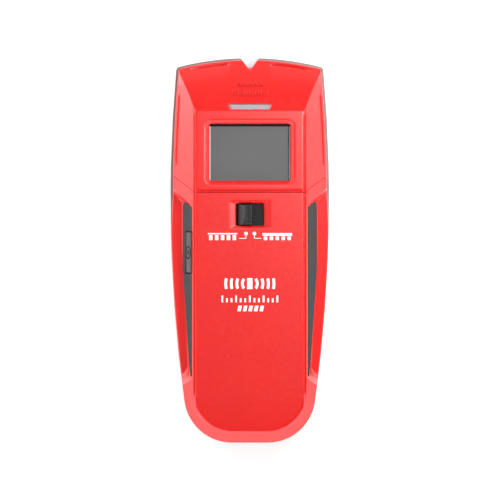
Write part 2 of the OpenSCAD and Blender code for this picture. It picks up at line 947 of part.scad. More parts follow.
module battery_door()
{
    slot = 1;
    color(grey) difference()
    {
        union()
        {
            block([-door_hw, hinge_y, base_z], [door_hw, door_high_y, base_z + door_t]);
            along_x(-door_hw, door_hw) translate([hinge_y, hinge_z]) circle(r = knuckle_r);
            along_x(-door_hw - pin_l, door_hw + pin_l) translate([hinge_y, hinge_z]) circle(r = pin_r);
        }
        both_sides()
            block([latch_hw, door_high_y - latch_l, -1], [latch_hw + slot, door_high_y + 1, floor_z + 1]);
        for (i = [0:3])
            block([-8, -60 + i * 2.4, -1], [8, -58.8 + i * 2.4, base_z + 0.4]);
    }
}

module door_pad()
{
    color(dark) translate([0, -42, base_z + door_t]) linear_extrude(battery_z - base_z - door_t - 0.2)
        round_rect(20, 24, 2);
}

rear_shell();
upper_front_shell();
lower_front_shell();
left_grip();
right_grip();
glide_pads();
shell_screws();
display_lens();
display_gasket();
lcd_glass();
lcd_frame();
backlight();
contact_strips();
light_window();
indicator_leds();
main_board();
board_screws();
controller_chip();
crystal();
capacitors();
buzzer_case();
buzzer_disc();
sensor_board();
sensor_electrodes();
amplifier_chips();
chip_resistors();
ribbon_connectors();
ribbon_cable();
scan_key();
key_switch_body();
key_plunger();
mode_knob();
slide_switch_body();
slide_switch_lever();
battery_case();
battery_terminals();
battery_snap();
red_lead();
black_lead();
battery_door();
door_pad();
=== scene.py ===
import json
import math

import bmesh
import bpy
import numpy as np
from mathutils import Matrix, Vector


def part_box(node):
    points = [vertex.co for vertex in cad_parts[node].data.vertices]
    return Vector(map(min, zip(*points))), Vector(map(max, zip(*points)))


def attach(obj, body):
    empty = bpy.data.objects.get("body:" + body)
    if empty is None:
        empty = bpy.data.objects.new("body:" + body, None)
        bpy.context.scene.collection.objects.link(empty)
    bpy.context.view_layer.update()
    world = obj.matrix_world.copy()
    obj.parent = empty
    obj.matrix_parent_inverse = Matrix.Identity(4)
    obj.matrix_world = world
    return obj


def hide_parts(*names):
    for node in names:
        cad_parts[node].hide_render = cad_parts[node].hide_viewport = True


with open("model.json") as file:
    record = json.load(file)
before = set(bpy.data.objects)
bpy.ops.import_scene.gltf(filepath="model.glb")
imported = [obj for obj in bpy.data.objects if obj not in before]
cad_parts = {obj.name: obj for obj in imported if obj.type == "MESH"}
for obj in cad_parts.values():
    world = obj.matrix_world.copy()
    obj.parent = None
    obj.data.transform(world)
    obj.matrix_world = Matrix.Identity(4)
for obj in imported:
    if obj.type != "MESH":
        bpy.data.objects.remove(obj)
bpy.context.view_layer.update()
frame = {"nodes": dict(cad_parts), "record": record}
MM = 0.001


def box_mm(node):
    """Lowest and highest corner of a CAD node, in millimetres."""
    low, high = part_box(node)
    return np.array(low) / MM, np.array(high) / MM


# ---- Sizes in millimetres, from the frame where it has them ----

BODY_HW, BODY_HL, _ = box_mm("rear_shell")[1]
BODY_H = box_mm("upper_front_shell")[1][2]
PARTING_Z = 11.0

# Outline in plan
SIDE_R = 610.0
WIDEST_Y = 21.0
TAIL_R = 20.0
TAIL_A = math.radians(7.8)
TIP_R = 120.0
SHOULDER_R = 1.7
NOTCH_HW = 3.75
NOTCH_DEPTH = 3.9
NOTCH_FLOOR_HW = 1.0
RIM_LOW = 0.15
RIM_HEAD = 1.0

# Front surfaces
FACE_SLOPE = math.tan(math.radians(1.1))
FACE_HW = 22.9
FACE_EDGE = 22.35
STEP_H = 0.6
STEP_X = 23.2
NOSE_Y = 57.7
NOSE_SLOPE = 0.32
NOSE_BEND = 0.005
TAIL_ROLL_Y = -60.0
TAIL_ROLL = 1.4 / 22 ** 2
CONE_Z = 21.8
TIP_ROLL = 0.8
TIP_ROLL_W = 7.5
SEAM_Y = 24.1
SEAM_SLOPE = 0.765
SEAM_HALF_GAP = 0.08
RIM_ROUND = 0.5
SHELL_T = 1.5

# Shallow grooves: place, half width and depth; the seam's own line: half width and depth
SIDE_GROOVE = (1.25, 0.4, 0.55)
TIP_GROOVE = (1.55, 0.75, 0.85)
CREASE = (22.85, 0.5, 0.55)
SEAM_GROOVE = (24.75, 0.22, 0.5)
SEAM_LINE = (0.3, 0.22)

# Softness of the creases where two surfaces meet
STEP_SOFT = 0.25
NOSE_SOFT = 0.14
CONE_SOFT = 0.8
RECESS_SOFT = 0.25
BEZEL_SOFT = 0.25
SLOT_SOFT = 0.05

# Side recesses and grips
RECESS_X = 23.7
RECESS_DROP = 1.1
RECESS_SLOPE = 3.1
RECESS_TOP = (18.5, 0.9)
RECESS_LOW = (-53.1, -0.73)
FOOT_X = 27.9
FOOT_TAPER = 0.062
FOOT_START_Y = 2.0
FOOT_SLOPE = 18.0
FLANGE_EDGE_Z = PARTING_Z + 1.2
FLANGE_SLOPE = 0.29

# Openings in the front
LENS_LOW, LENS_HIGH = box_mm("display_lens")
WINDOW_HW = LENS_HIGH[0] - 1.3
WINDOW_HL = (LENS_HIGH[1] - LENS_LOW[1]) / 2 - 1
WINDOW_Y = (LENS_HIGH[1] + LENS_LOW[1]) / 2
WINDOW_R = 0.8
BEZEL_W = 1.55
BEZEL_DEPTH = 1.6
LIGHT_LOW, LIGHT_HIGH = box_mm("light_window")
LIGHT_LOW_HW = 7.85
LIGHT_WELL_Z = 28.2
KNOB_LOW, KNOB_HIGH = box_mm("mode_knob")
SLOT_Y = (KNOB_LOW[1] + KNOB_HIGH[1]) / 2
SLOT_HW = 5.75
SLOT_HL = 4.65
SLOT_R = 0.5
SLOT_BEVEL = (2.3, 0.75)
SLOT_BEVEL_DEPTH = (0.87, 0.42)
KNOB_PLATE_T = 0.7
KEY_LOW, KEY_HIGH = box_mm("scan_key")
KEY_GAP = 0.35
KEY_FOOT_GAP = 0.9
KEY_HL = (KEY_HIGH[1] - KEY_LOW[1]) / 2 - 1.1
KEY_FOOT_Z = KEY_LOW[2] + 1.7
KEY_TOP_Z = KEY_HIGH[2] - 0.3
KEY_Y = (KEY_HIGH[1] + KEY_LOW[1]) / 2
KEY_WINDOW = (KEY_Y - KEY_HL - KEY_GAP, KEY_Y + KEY_HL + KEY_GAP)


# ---- Small shape functions ----

def smooth_min(a, b, k):
    """The lower of two surfaces, with a soft crease k wide."""
    h = np.clip(0.5 + 0.5 * (b - a) / k, 0, 1)
    return b + (a - b) * h - k * h * (1 - h)


def smooth_max(a, b, k):
    return -smooth_min(-a, -b, k)


def smooth_step(t):
    t = np.clip(t, 0, 1)
    return t * t * (3 - 2 * t)


def bump(t):
    """A round hump of height 1 between t = -1 and t = 1."""
    return np.clip(1 - t * t, 0, None) ** 2


def between(value, low, high, soft):
    """1 from low to high and 0 outside, with soft ends."""
    return smooth_step((value - low) / soft + 0.5) * smooth_step((high - value) / soft + 0.5)


def ladder(*stops):
    """Values from (start, cells up to the next start), ending with a single end value."""
    values = []
    for (start, cells), following in zip(stops[:-1], stops[1:]):
        end = following[0]
        values += [start + (end - start) * i / cells for i in range(cells)]
    return np.array(values + [stops[-1][0]])


def follow(stops, place):
    """Value at a place on the straight lines through the stops, each (place, value)."""
    return np.interp(place, [s[0] for s in stops], [s[1] for s in stops])


def edge_round(distance, r):
    """How far a surface falls back at a distance from its round edge."""
    near = np.clip(r - distance, 0, r)
    return r - np.sqrt(r * r - near * near)


# ---- Outline of the body and of the red front ----

def side_x(y):
    """Half width of the body, up to the head's corners."""
    return BODY_HW - (y - WIDEST_Y) ** 2 / (2 * SIDE_R)


def rim(y):
    """Width of the grey rim beside the red front."""
    return RIM_LOW + (RIM_HEAD - RIM_LOW) * np.clip((y - 8) / 16, 0, 1)


TAIL_Y = TAIL_R - BODY_HL
TAIL_END_Y = TAIL_Y - TAIL_R * math.sin(TAIL_A)
TAIL_X = side_x(TAIL_END_Y) - TAIL_R * math.cos(TAIL_A)
TIP_Y = BODY_HL - math.sqrt(TIP_R ** 2 - NOTCH_HW ** 2)
NOTCH_Y = BODY_HL - NOTCH_DEPTH
NOTCH_RISE = NOTCH_DEPTH / (NOTCH_HW - NOTCH_FLOOR_HW)
RED_TIP_R = TIP_R - RIM_HEAD
RED_TAIL_R = TAIL_R - RIM_LOW
RED_TAIL_END = TAIL_Y - RED_TAIL_R
RED_TIP_END = TIP_Y + RED_TIP_R


def red_shoulder():
    """Centre and radius of a head corner of the red front."""
    r = SHOULDER_R - RIM_HEAD
    y = BODY_HL - 6
    for _ in range(6):
        y = TIP_Y + math.sqrt((RED_TIP_R - r) ** 2 - (side_x(y) - RIM_HEAD - r) ** 2)
    return side_x(y) - RIM_HEAD - r, y, r


def notch_mouth():
    """Half width of the notch where it meets the end of the red front."""
    x = NOTCH_HW
    for _ in range(8):
        x = NOTCH_FLOOR_HW + (TIP_Y + math.sqrt(RED_TIP_R ** 2 - x * x) - NOTCH_Y) / NOTCH_RISE
    return x


RED_SHOULDER = red_shoulder()
MOUTH_X = notch_mouth()


def outline_x(y):
    """Half width of the red front, up to the head's corners."""
    if y < TAIL_END_Y:
        return TAIL_X + math.sqrt(max(0.0, RED_TAIL_R ** 2 - (y - TAIL_Y) ** 2))
    return side_x(y) - rim(y)


def red_outline():
    """Right half of the outline of the red front, from the tail to the notch."""
    sx, sy, shoulder_r = RED_SHOULDER
    tip_a = math.asin(sx / (RED_TIP_R - shoulder_r))
    mouth_a = math.asin(MOUTH_X / RED_TIP_R)
    points = [(0.0, RED_TAIL_END)]
    points += [(TAIL_X + RED_TAIL_R * math.cos(a), TAIL_Y + RED_TAIL_R * math.sin(a))
               for a in np.linspace(-math.pi / 2, -TAIL_A, 48)]
    points += [(side_x(y) - rim(y), y) for y in np.linspace(TAIL_END_Y, sy, 120)[1:-1]]
    points += [(sx + shoulder_r * math.cos(a), sy + shoulder_r * math.sin(a))
               for a in np.linspace(math.radians(5), math.pi / 2 - tip_a, 10)]
    points += [(RED_TIP_R * math.sin(a), TIP_Y + RED_TIP_R * math.cos(a))
               for a in np.linspace(tip_a, mouth_a, 48)[1:]]
    points += [(NOTCH_FLOOR_HW, NOTCH_Y), (0.0, NOTCH_Y)]
    return np.array(points)


RED_OUTLINE = red_outline()


def edge_distance(x, y):
    """Distance from points of the right half to the outline of the red front."""
    p = np.stack([np.ravel(x), np.ravel(y)], 1)[:, None, :]
    a, b = RED_OUTLINE[:-1], RED_OUTLINE[1:]
    along = b - a
    t = np.clip(((p - a) * along).sum(2) / (along ** 2).sum(1), 0, 1)
    gap = p - a - t[..., None] * along
    return np.sqrt((gap ** 2).sum(2)).min(1).reshape(np.shape(x))


# ---- Height of the front surface ----

def face_z(y):
    """The raised face, which leans a little towards the tail."""
    return BODY_H - (NOSE_Y - y) * FACE_SLOPE


def plateau_z(y):
    """The raised face with its soft roll at the tail."""
    return face_z(y) - TAIL_ROLL * np.clip(TAIL_ROLL_Y - y, 0, None) ** 2


def nose_z(y):
    return BODY_H - NOSE_SLOPE * (y - NOSE_Y) - NOSE_BEND * np.clip(y - NOSE_Y, 0, None) ** 2


def foot_x_at(y):
    """Place of the foot of the recess wall."""
    return FOOT_X - FOOT_TAPER * np.clip(FOOT_START_Y - y, 0, None)


def foot_z_at(y):
    return face_z(y) - RECESS_DROP - (foot_x_at(y) - RECESS_X) * RECESS_SLOPE


def wall_x(y, z):
    """Place of the recess wall at a height."""
    return RECESS_X + (face_z(y) - RECESS_DROP - z) / RECESS_SLOPE


def tip_distance(x, y):
    """Distance inwards from the head's end."""
    return RED_TIP_R - np.hypot(x, y - TIP_Y)


def window_distance(x, y):
    """Distance outwards from the display window's edge."""
    px = x - (WINDOW_HW - WINDOW_R)
    py = np.abs(y - WINDOW_Y) - (WINDOW_HL - WINDOW_R)
    outside = np.hypot(np.clip(px, 0, None), np.clip(py, 0, None))
    return outside + np.minimum(np.maximum(px, py), 0) - WINDOW_R


def recess_z(x, y, around):
    """Wall, flange and end walls of a side recess, given the height of the surface around it."""
    fx, fz = foot_x_at(y), foot_z_at(y)
    wall = face_z(y) - RECESS_DROP - (x - RECESS_X) * RECESS_SLOPE
    wall = np.minimum(wall, fz - (x - fx) * FOOT_SLOPE)
    flange = FLANGE_EDGE_Z + (side_x(y) - x) * FLANGE_SLOPE
    inside_top = RECESS_TOP[0] + RECESS_TOP[1] * (x - RECESS_X) - y
    inside_low = y - RECESS_LOW[0] - RECESS_LOW[1] * (x - RECESS_X)
    ends = smooth_max(around - inside_top * 6.0, around - inside_low * 2.6, 0.2)
    return smooth_max(smooth_max(wall, flange, 0.5), ends, 0.6)


def raised_face_z(x, y):
    """Raised face, its small step and the slope beside it, cut by the nose."""
    z = plateau_z(y) - STEP_H * smooth_step((x - FACE_EDGE) / (STEP_X - FACE_EDGE))
    z = z - smooth_max(x - STEP_X, 0, STEP_SOFT)
    return smooth_min(z, nose_z(y), NOSE_SOFT)


def cone_z(y, from_edge):
    """Slope round the tail, given the distance from the edge; it runs out above the face further up."""
    return CONE_Z + 1.6 * smooth_step((y + 78) / 18) + 0.5 * np.clip(y + 58, 0, None) + from_edge


def bezel_z(x, y):
    """Slope round the display window."""
    return plateau_z(y) - BEZEL_DEPTH + window_distance(x, y) * BEZEL_DEPTH / BEZEL_W


def slot_bevel_z(x, y, side):
    """Slopes round the switch opening, which is deeper at its right end."""
    outside = np.maximum((x - SLOT_HW) / SLOT_BEVEL[0], (np.abs(y - SLOT_Y) - SLOT_HL) / SLOT_BEVEL[1])
    depth = SLOT_BEVEL_DEPTH[0] + SLOT_BEVEL_DEPTH[1] * np.clip(side * x / SLOT_HW, -1, 1)
    return plateau_z(y) - depth * (1 - outside)


def groove(distance, shape):
    """Depth of a groove at a distance from its reference line."""
    place, half_width, depth = shape
    return depth * bump((distance - place) / half_width)


def grooves(x, y):
    """Depth of the decorative grooves, of the crease beside the face and of the seam's lines."""
    side_groove = groove(side_x(y) - rim(y) - x, SIDE_GROOVE) * between(y, 35.3, 64.2, 0.8)
    tip_groove = groove(tip_distance(x, y), TIP_GROOVE) * between(x, 8.8, 24.1, 1.2)
    crease = groove(x, CREASE) * between(y, TAIL_ROLL_Y, NOSE_Y - 1.5, 2)
    seam_groove = groove(y, SEAM_GROOVE) * smooth_step((FACE_EDGE - x) / 0.3)
    half_width, depth = SEAM_LINE
    from_seam = y - SEAM_Y - SEAM_SLOPE * np.clip(x - FACE_HW, 0, None)
    seam_line = depth * np.clip(1 - np.abs(from_seam) / half_width, 0, 1) ** 2
    return side_groove + tip_groove + crease + seam_groove + seam_line


def front_z(x, y, side):
    """Height of the front surface; side is 1 on the right, or -1 on the left, mirrored to the right."""
    from_edge = edge_distance(x, y)
    roll = np.clip(1 - tip_distance(x, y) / TIP_ROLL_W, 0, 1) ** 2 * smooth_step((x - 8.1) / 1.4)
    z = raised_face_z(x, y) - TIP_ROLL * roll
    z = smooth_min(z, cone_z(y, from_edge), CONE_SOFT)
    z = smooth_min(z, recess_z(x, y, z), RECESS_SOFT)
    z = smooth_min(z, bezel_z(x, y), BEZEL_SOFT)
    z = smooth_min(z, slot_bevel_z(x, y, side), SLOT_SOFT)
    z = z - grooves(x, y) - edge_round(from_edge, RIM_ROUND)
    into_notch = y - (NOTCH_Y - NOTCH_FLOOR_HW * NOTCH_RISE) - x * NOTCH_RISE
    return z - 2.0 * np.clip(into_notch, 0, None) * (x < NOTCH_FLOOR_HW)


# ---- Grid that follows the creases of the front ----

TAIL_GRID_Y = -65.5
HEAD_GRID_Y = 61.5
SHEAR = [(TAIL_GRID_Y, 0), (-56, RECESS_LOW[1]), (-51, RECESS_LOW[1]), (-40, 0), (KEY_Y + KEY_HL + 2, 0),
         (17, RECESS_TOP[1]), (18.5, RECESS_TOP[1]), (SEAM_Y - 0.5, SEAM_SLOPE), (SEAM_Y + 1, SEAM_SLOPE),
         (57, 0), (HEAD_GRID_Y, 0)]
COLUMN_CELLS = [2, 4, 3, 5, 8, 6, 5, 7, 2, 9, 3, 4, 6, 3, 5]


def outer_point(v):
    """Point of the red outline where the row v ends."""
    if v < TAIL_GRID_Y:
        t = (TAIL_GRID_Y - v) / (TAIL_GRID_Y - RED_TAIL_END)
        start = math.asin((TAIL_GRID_Y - TAIL_Y) / RED_TAIL_R)
        a = start + (-math.pi / 4 - start) * t
        return TAIL_X + RED_TAIL_R * math.cos(a), TAIL_Y + RED_TAIL_R * math.sin(a)
    if v > HEAD_GRID_Y:
        sx, sy, rs = RED_SHOULDER
        corner = math.radians(42)
        y = HEAD_GRID_Y + (sy + rs * math.sin(corner) - HEAD_GRID_Y) * head_share(v)
        if y < sy:
            return side_x(y) - rim(y), y
        return sx + math.sqrt(max(0.0, rs * rs - (y - sy) ** 2)), y
    y = v
    for _ in range(12):
        x = outline_x(y)
        y = v + shear_at(v) * (x - FACE_HW)
    return x, y


def shear_at(v):
    """How far row v leans, as the change of y with x."""
    return float(follow(SHEAR, v))


def head_share(v):
    """Share of the way of row v from the last straight row to the head's end."""
    return (v - HEAD_GRID_Y) / (RED_TIP_END - HEAD_GRID_Y)


def row_y(v, x):
    """Y of the points of row v."""
    if v < TAIL_GRID_Y:
        out_x, out_y = outer_point(v)
        end_x, end_y = outer_point(RED_TAIL_END)
        xs = np.clip(x * end_x / out_x - TAIL_X, 0, RED_TAIL_R)
        line = TAIL_Y - np.sqrt(RED_TAIL_R ** 2 - xs ** 2)
        return v + (line - RED_TAIL_END) * (out_y - v) / (end_y - RED_TAIL_END)
    if v > HEAD_GRID_Y:
        out_x, out_y = outer_point(v)
        end_x, end_y = outer_point(RED_TIP_END)
        arc = TIP_Y + np.sqrt(RED_TIP_R ** 2 - (x * end_x / out_x) ** 2)
        y = v + (arc - RED_TIP_END) * (out_y - v) / (end_y - RED_TIP_END)
        pull = max(0.0, (v - 70) / (RED_TIP_END - 70))
        notch = NOTCH_Y + np.clip(x - NOTCH_FLOOR_HW, 0, None) * NOTCH_RISE
        return y - pull * np.clip(arc - notch, 0, None)
    return v + shear_at(v) * np.clip(x - FACE_HW, 0, None)


def column_keys(v):
    """X of the lines between the zones of row v, from the middle outwards."""
    out_x = outer_point(v)[0]
    y = v
    for _ in range(6):
        edge = STEP_X + face_z(y) - STEP_H - nose_z(y)
        y = float(row_y(v, np.array([min(edge, out_x)]))[0])
    keys = [0, NOTCH_FLOOR_HW, MOUTH_X, SLOT_HW, SLOT_HW + SLOT_BEVEL[0], WINDOW_HW,
            WINDOW_HW + BEZEL_W + 0.2, max(FACE_EDGE, edge - 0.5), max(STEP_X + 0.05, edge + 0.2),
            max(RECESS_X, edge + 0.8)]
    keys[4] = float(follow([(54, keys[4]), (LIGHT_LOW[1], LIGHT_LOW_HW), (LIGHT_HIGH[1], LIGHT_HIGH[0])], v))
    groove_in, groove_hw, _ = SIDE_GROOVE
    outer = [out_x - groove_in - groove_hw, out_x - groove_in + groove_hw, out_x - RIM_ROUND, out_x]
    middle = (keys[9] + outer[0]) / 2
    foot = float(follow([(-58, middle), (-53, foot_x_at(v)), (18, foot_x_at(v)), (26, middle)], v))
    if v < TAIL_GRID_Y:
        shrink = out_x / outer_point(TAIL_GRID_Y)[0]
        keys = [k * shrink for k in keys]
        foot *= shrink
    keys = keys + [foot, foot + 0.7] + outer
    for i in range(len(keys) - 2, 0, -1):
        keys[i] = min(keys[i], keys[i + 1] - 0.12)
    return np.array(keys)


def grid_row(v):
    """Points (x, y) of row v on the right half."""
    keys = column_keys(v)
    x = np.concatenate([np.linspace(keys[i], keys[i + 1], n + 1)[:-1] for i, n in enumerate(COLUMN_CELLS)]
                       + [keys[-1:]])
    return np.stack([x, row_y(v, x)], 1)


def round_corners(grid, near_rows, centre_y, hw, hl, r):
    """Moves the grid points on the edge of a rectangular opening onto its round corners."""
    for j in near_rows:
        for i in range(grid.shape[1]):
            x, y = grid[j, i]
            px, py = x - (hw - r), abs(y - centre_y) - (hl - r)
            on_edge = abs(x - hw) < 1e-6 or abs(abs(y - centre_y) - hl) < 1e-6
            if px > 0 and py > 0 and on_edge and x < hw + 1e-6:
                reach = math.hypot(px, py)
                grid[j, i, 0] = hw - r + px * r / reach
                grid[j, i, 1] = centre_y + math.copysign(hl - r + py * r / reach, y - centre_y)


def cell_start(zone):
    """Index of the first column of a zone."""
    return sum(COLUMN_CELLS[:zone])


LOWER_ROWS = ladder((RED_TAIL_END, 6), (-79.3, 6), (-76, 8), (-73.4, 8), (TAIL_GRID_Y, 10), (-56.5, 14),
                    (-51, 38), (KEY_WINDOW[0], 15), (KEY_WINDOW[1], 2),
                    (SLOT_Y - SLOT_HL - SLOT_BEVEL[1], 4), (SLOT_Y - SLOT_HL, 7), (16.4, 9), (18.3, 3),
                    (SLOT_Y + SLOT_HL, 4), (SLOT_Y + SLOT_HL + SLOT_BEVEL[1], 4), (23.5, 5),
                    (SEAM_Y - SEAM_HALF_GAP, 0))
UPPER_ROWS = ladder((SEAM_Y + SEAM_HALF_GAP, 4), (24.5, 6), (25.0, 3),
                    (WINDOW_Y - WINDOW_HL - BEZEL_W - 0.2, 7), (WINDOW_Y - WINDOW_HL, 26),
                    (WINDOW_Y + WINDOW_HL, 7), (WINDOW_Y + WINDOW_HL + BEZEL_W + 0.2, 4), (57.2, 5),
                    (LIGHT_LOW[1], 4), (LIGHT_HIGH[1], 2), (HEAD_GRID_Y, 18), (74, 16),
                    (RED_TIP_END - 0.7, 6), (RED_TIP_END, 0))


# ---- Meshes and their modifiers ----

def make_piece(name, points, faces, node, body, material, smooth=True):
    """A piece from points in millimetres, on a body; node is the CAD node that it stands for.

    Faces with more than four corners are end caps, and stay flat.
    """
    mesh = bpy.data.meshes.new(name)
    mesh.from_pydata([tuple(float(c) * MM for c in p) for p in points], [], faces)
    bm = bmesh.new()
    bm.from_mesh(mesh)
    bmesh.ops.delete(bm, geom=[v for v in bm.verts if not v.link_faces], context="VERTS")
    bm.to_mesh(mesh)
    bm.free()
    mesh.validate()
    mesh.polygons.foreach_set("use_smooth", [smooth and p.loop_total <= 4 for p in mesh.polygons])
    mesh.materials.append(material)
    obj = bpy.data.objects.new(name, mesh)
    bpy.context.scene.collection.objects.link(obj)
    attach(obj, body)
    if node:
        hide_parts(node)
    return obj


def add_thickness(obj, thickness):
    solid = obj.modifiers.new("thickness", "SOLIDIFY")
    solid.thickness = thickness * MM
    solid.offset = -1
    solid.use_even_offset = False


def add_bevel(obj, width, harden_normals):
    bevel = obj.modifiers.new("edges", "BEVEL")
    bevel.width = width * MM
    bevel.segments = 2
    bevel.limit_method = "ANGLE"
    bevel.angle_limit = math.radians(35)
    bevel.harden_normals = harden_normals


def quads(n, m):
    """Faces of a grid of n rows of m points."""
    return [(j * m + i, j * m + i + 1, (j + 1) * m + i + 1, (j + 1) * m + i)
            for j in range(n - 1) for i in range(m - 1)]


def pillow(grid, shift):
    """Points and faces of a closed piece: a shaped front whose edge is carried back by shift."""
    n, m = grid.shape[:2]
    points = list(grid.reshape(-1, 3))
    faces = quads(n, m)
    border = [i for i in range(m)] + [j * m + m - 1 for j in range(1, n)]
    border += [(n - 1) * m + i for i in range(m - 2, -1, -1)] + [j * m for j in range(n - 2, 0, -1)]
    previous = border
    for share in (0.12, 0.5, 1.0):
        ring = list(range(len(points), len(points) + len(border)))
        points += [points[k] + np.array(shift) * share for k in border]
        for k in range(len(border)):
            after = (k + 1) % len(border)
            faces.append((previous[k], ring[k], ring[after], previous[after]))
        previous = ring
    faces.append(tuple(reversed(previous)))
    return points, faces


def rounded_rect(cx, cy, hw, hl, r):
    """Anticlockwise points of a rectangle with round corners."""
    steps = 6
    r = max(r, 0.02)
    corners = ((1, 1, 0), (-1, 1, 90), (-1, -1, 180), (1, -1, 270))
    return [(cx + sx * (hw - r) + r * math.cos(math.radians(start + 90 * k / steps)),
             cy + sy * (hl - r) + r * math.sin(math.radians(start + 90 * k / steps)))
            for sx, sy, start in corners for k in range(steps + 1)]


def slab(low, high, r, edge):
    """Points and faces of a flat piece that fills a box, with round corners and round edges."""
    turns = np.linspace(0, math.pi / 2, 5)
    profile = [(edge * (1 - math.sin(a)), low[2] + edge * (1 - math.cos(a))) for a in turns]
    profile += [(inset, high[2] + low[2] - z) for inset, z in reversed(profile)]
    (cx, cy), (hw, hl) = [[(b + sign * a) / 2 for a, b in zip(low[:2], high[:2])] for sign in (1, -1)]
    points, faces = [], []
    for d, z in profile:
        points += [np.array([x, y, z]) for x, y in rounded_rect(cx, cy, hw - d, hl - d, r - d)]
    n = len(points) // len(profile)
    for j in range(len(profile) - 1):
        for k in range(n):
            after = (k + 1) % n
            faces.append((j * n + k, j * n + after, (j + 1) * n + after, (j + 1) * n + k))
    faces.append(tuple(range(n - 1, -1, -1)))
    faces.append(tuple((len(profile) - 1) * n + k for k in range(n)))
    return points, faces


# ---- Thin marks ----

def bar(x0, y0, x1, y1, lean=0.0):
    """Corners of a bar whose upper end is moved sideways by lean."""
    return [(x0, y0), (x1, y0), (x1 + lean, y1), (x0 + lean, y1)]


def disc(cx, cy, r):
    angles = [2 * math.pi * k / 20 for k in range(20)]
    return [(cx + r * math.cos(a), cy + r * math.sin(a)) for a in angles]


def arc_band(cx, cy, r, width, middle, spread, steps=8):
    """Part of a ring around a direction, both in degrees."""
    angles = [math.radians(middle - spread + 2 * spread * k / steps) for k in range(steps + 1)]
    far, near = r + width / 2, r - width / 2
    outer = [(cx + far * math.cos(a), cy + far * math.sin(a)) for a in angles]
    inner = [(cx + near * math.cos(a), cy + near * math.sin(a)) for a in reversed(angles)]
    return outer + inner


def make_marks(name, shapes, place, depth, material, body="housing"):
    """Thin closed plates; place gives the point at (u, v) of a shape and a depth below the top."""
    points, faces = [], []
    for shape in shapes:
        n, first = len(shape), len(points)
        points += [np.array(place(u, v, depth)) for u, v in shape]
        points += [np.array(place(u, v, 0)) for u, v in shape]
        faces += [(first + k, first + (k + 1) % n, first + n + (k + 1) % n, first + n + k) for k in range(n)]
        faces.append(tuple(first + n + k for k in range(n)))
        faces.append(tuple(first + k for k in range(n - 1, -1, -1)))
    return make_piece(name, points, faces, None, body, material, smooth=False)


# ---- Materials ----

def feed(tree, socket, value):
    """Links an output to a socket, or sets the socket to a value."""
    if isinstance(value, bpy.types.NodeSocket):
        tree.links.new(value, socket)
    else:
        socket.default_value = value


class Nodes:
    """Short names for building one node material."""

    def __init__(self, name):
        self.material = bpy.data.materials.new(name)
        self.material.use_nodes = True
        self.tree = self.material.node_tree
        self.shader = self.tree.nodes["Principled BSDF"]
        coords = self.tree.nodes.new("ShaderNodeTexCoord")
        self.where = coords.outputs["Object"]

    def link(self, output, node_input):
        self.tree.links.new(output, node_input)

    def set(self, name, value):
        feed(self.tree, self.shader.inputs[name], value)

    def noise(self, scale, detail=3.0, stretch=None):
        """Soft noise; a small number in stretch makes it longer along that axis."""
        node = self.tree.nodes.new("ShaderNodeTexNoise")
        node.inputs["Scale"].default_value = scale
        node.inputs["Detail"].default_value = detail
        where = self.where
        if stretch:
            mapping = self.tree.nodes.new("ShaderNodeMapping")
            mapping.inputs["Scale"].default_value = stretch
            self.link(where, mapping.inputs["Vector"])
            where = mapping.outputs["Vector"]
        self.link(where, node.inputs["Vector"])
        return node.outputs["Fac"]

    def spread(self, value, low, high, from_low=0.3, from_high=0.7):
        """Maps from_low to from_high onto low to high."""
        node = self.tree.nodes.new("ShaderNodeMapRange")
        node.inputs["From Min"].default_value = from_low
        node.inputs["From Max"].default_value = from_high
        node.inputs["To Min"].default_value = low
        node.inputs["To Max"].default_value = high
        self.link(value, node.inputs["Value"])
        return node.outputs["Result"]

    def mix(self, factor, a, b):
        """Colour between a and b, each a colour or an output."""
        node = self.tree.nodes.new("ShaderNodeMix")
        node.data_type = "RGBA"
        for value, index in ((factor, 0), (a, 6), (b, 7)):
            feed(self.tree, node.inputs[index], value)
        return node.outputs[2]

    def edges(self):
        """1 on the sharp outer edges of the mesh."""
        geometry = self.tree.nodes.new("ShaderNodeNewGeometry")
        return self.spread(geometry.outputs["Pointiness"], 0.0, 1.0, 0.52, 0.6)

    def bump(self, height, strength, distance):
        node = self.tree.nodes.new("ShaderNodeBump")
        node.inputs["Strength"].default_value = strength
        node.inputs["Distance"].default_value = distance
        self.link(height, node.inputs["Height"])
        self.link(node.outputs["Normal"], self.shader.inputs["Normal"])


def colour(r, g, b, shade=1.0):
    return (r * shade, g * shade, b * shade, 1.0)


def moulded(name, rgb, roughness, grain=2600, grain_depth=0.00002, edge_highlight=0.25, specular=0.5):
    """Moulded plastic: soft colour drift, satin grain, and paler sharp edges that are a painted highlight."""
    n = Nodes(name)
    drift = n.mix(n.spread(n.noise(45), 0, 1), colour(*rgb, 0.96), colour(*rgb, 1.03))
    # Painted highlight: the sharp outer edges are mixed towards this paler colour
    highlight_rgb = [min(1.0, c * 1.15 + 0.02) for c in rgb]
    edge = n.tree.nodes.new("ShaderNodeMath")
    edge.operation = "MULTIPLY"
    edge.inputs[1].default_value = edge_highlight
    n.link(n.edges(), edge.inputs[0])
    n.set("Base Color", n.mix(edge.outputs[0], drift, colour(*highlight_rgb)))
    n.set("Roughness", n.spread(n.noise(700, 4), roughness - 0.04, roughness + 0.05))
    n.set("Specular IOR Level", specular)
    n.bump(n.noise(grain, 2), 0.35, grain_depth)
    return n.material


def clear_material():
    """Clear moulded window: nearly invisible face on, glossy at a low angle."""
    n = Nodes("clear_window")
    n.set("Base Color", (0.05, 0.055, 0.055, 1))
    facing = n.tree.nodes.new("ShaderNodeLayerWeight")
    facing.inputs["Blend"].default_value = 0.35
    n.set("Alpha", n.spread(facing.outputs["Fresnel"], 0.07, 0.7, 0.03, 0.9))
    n.set("Roughness", n.spread(n.noise(60), 0.04, 0.09))
    n.bump(n.noise(2500), 0.1, 0.000004)
    return n.material


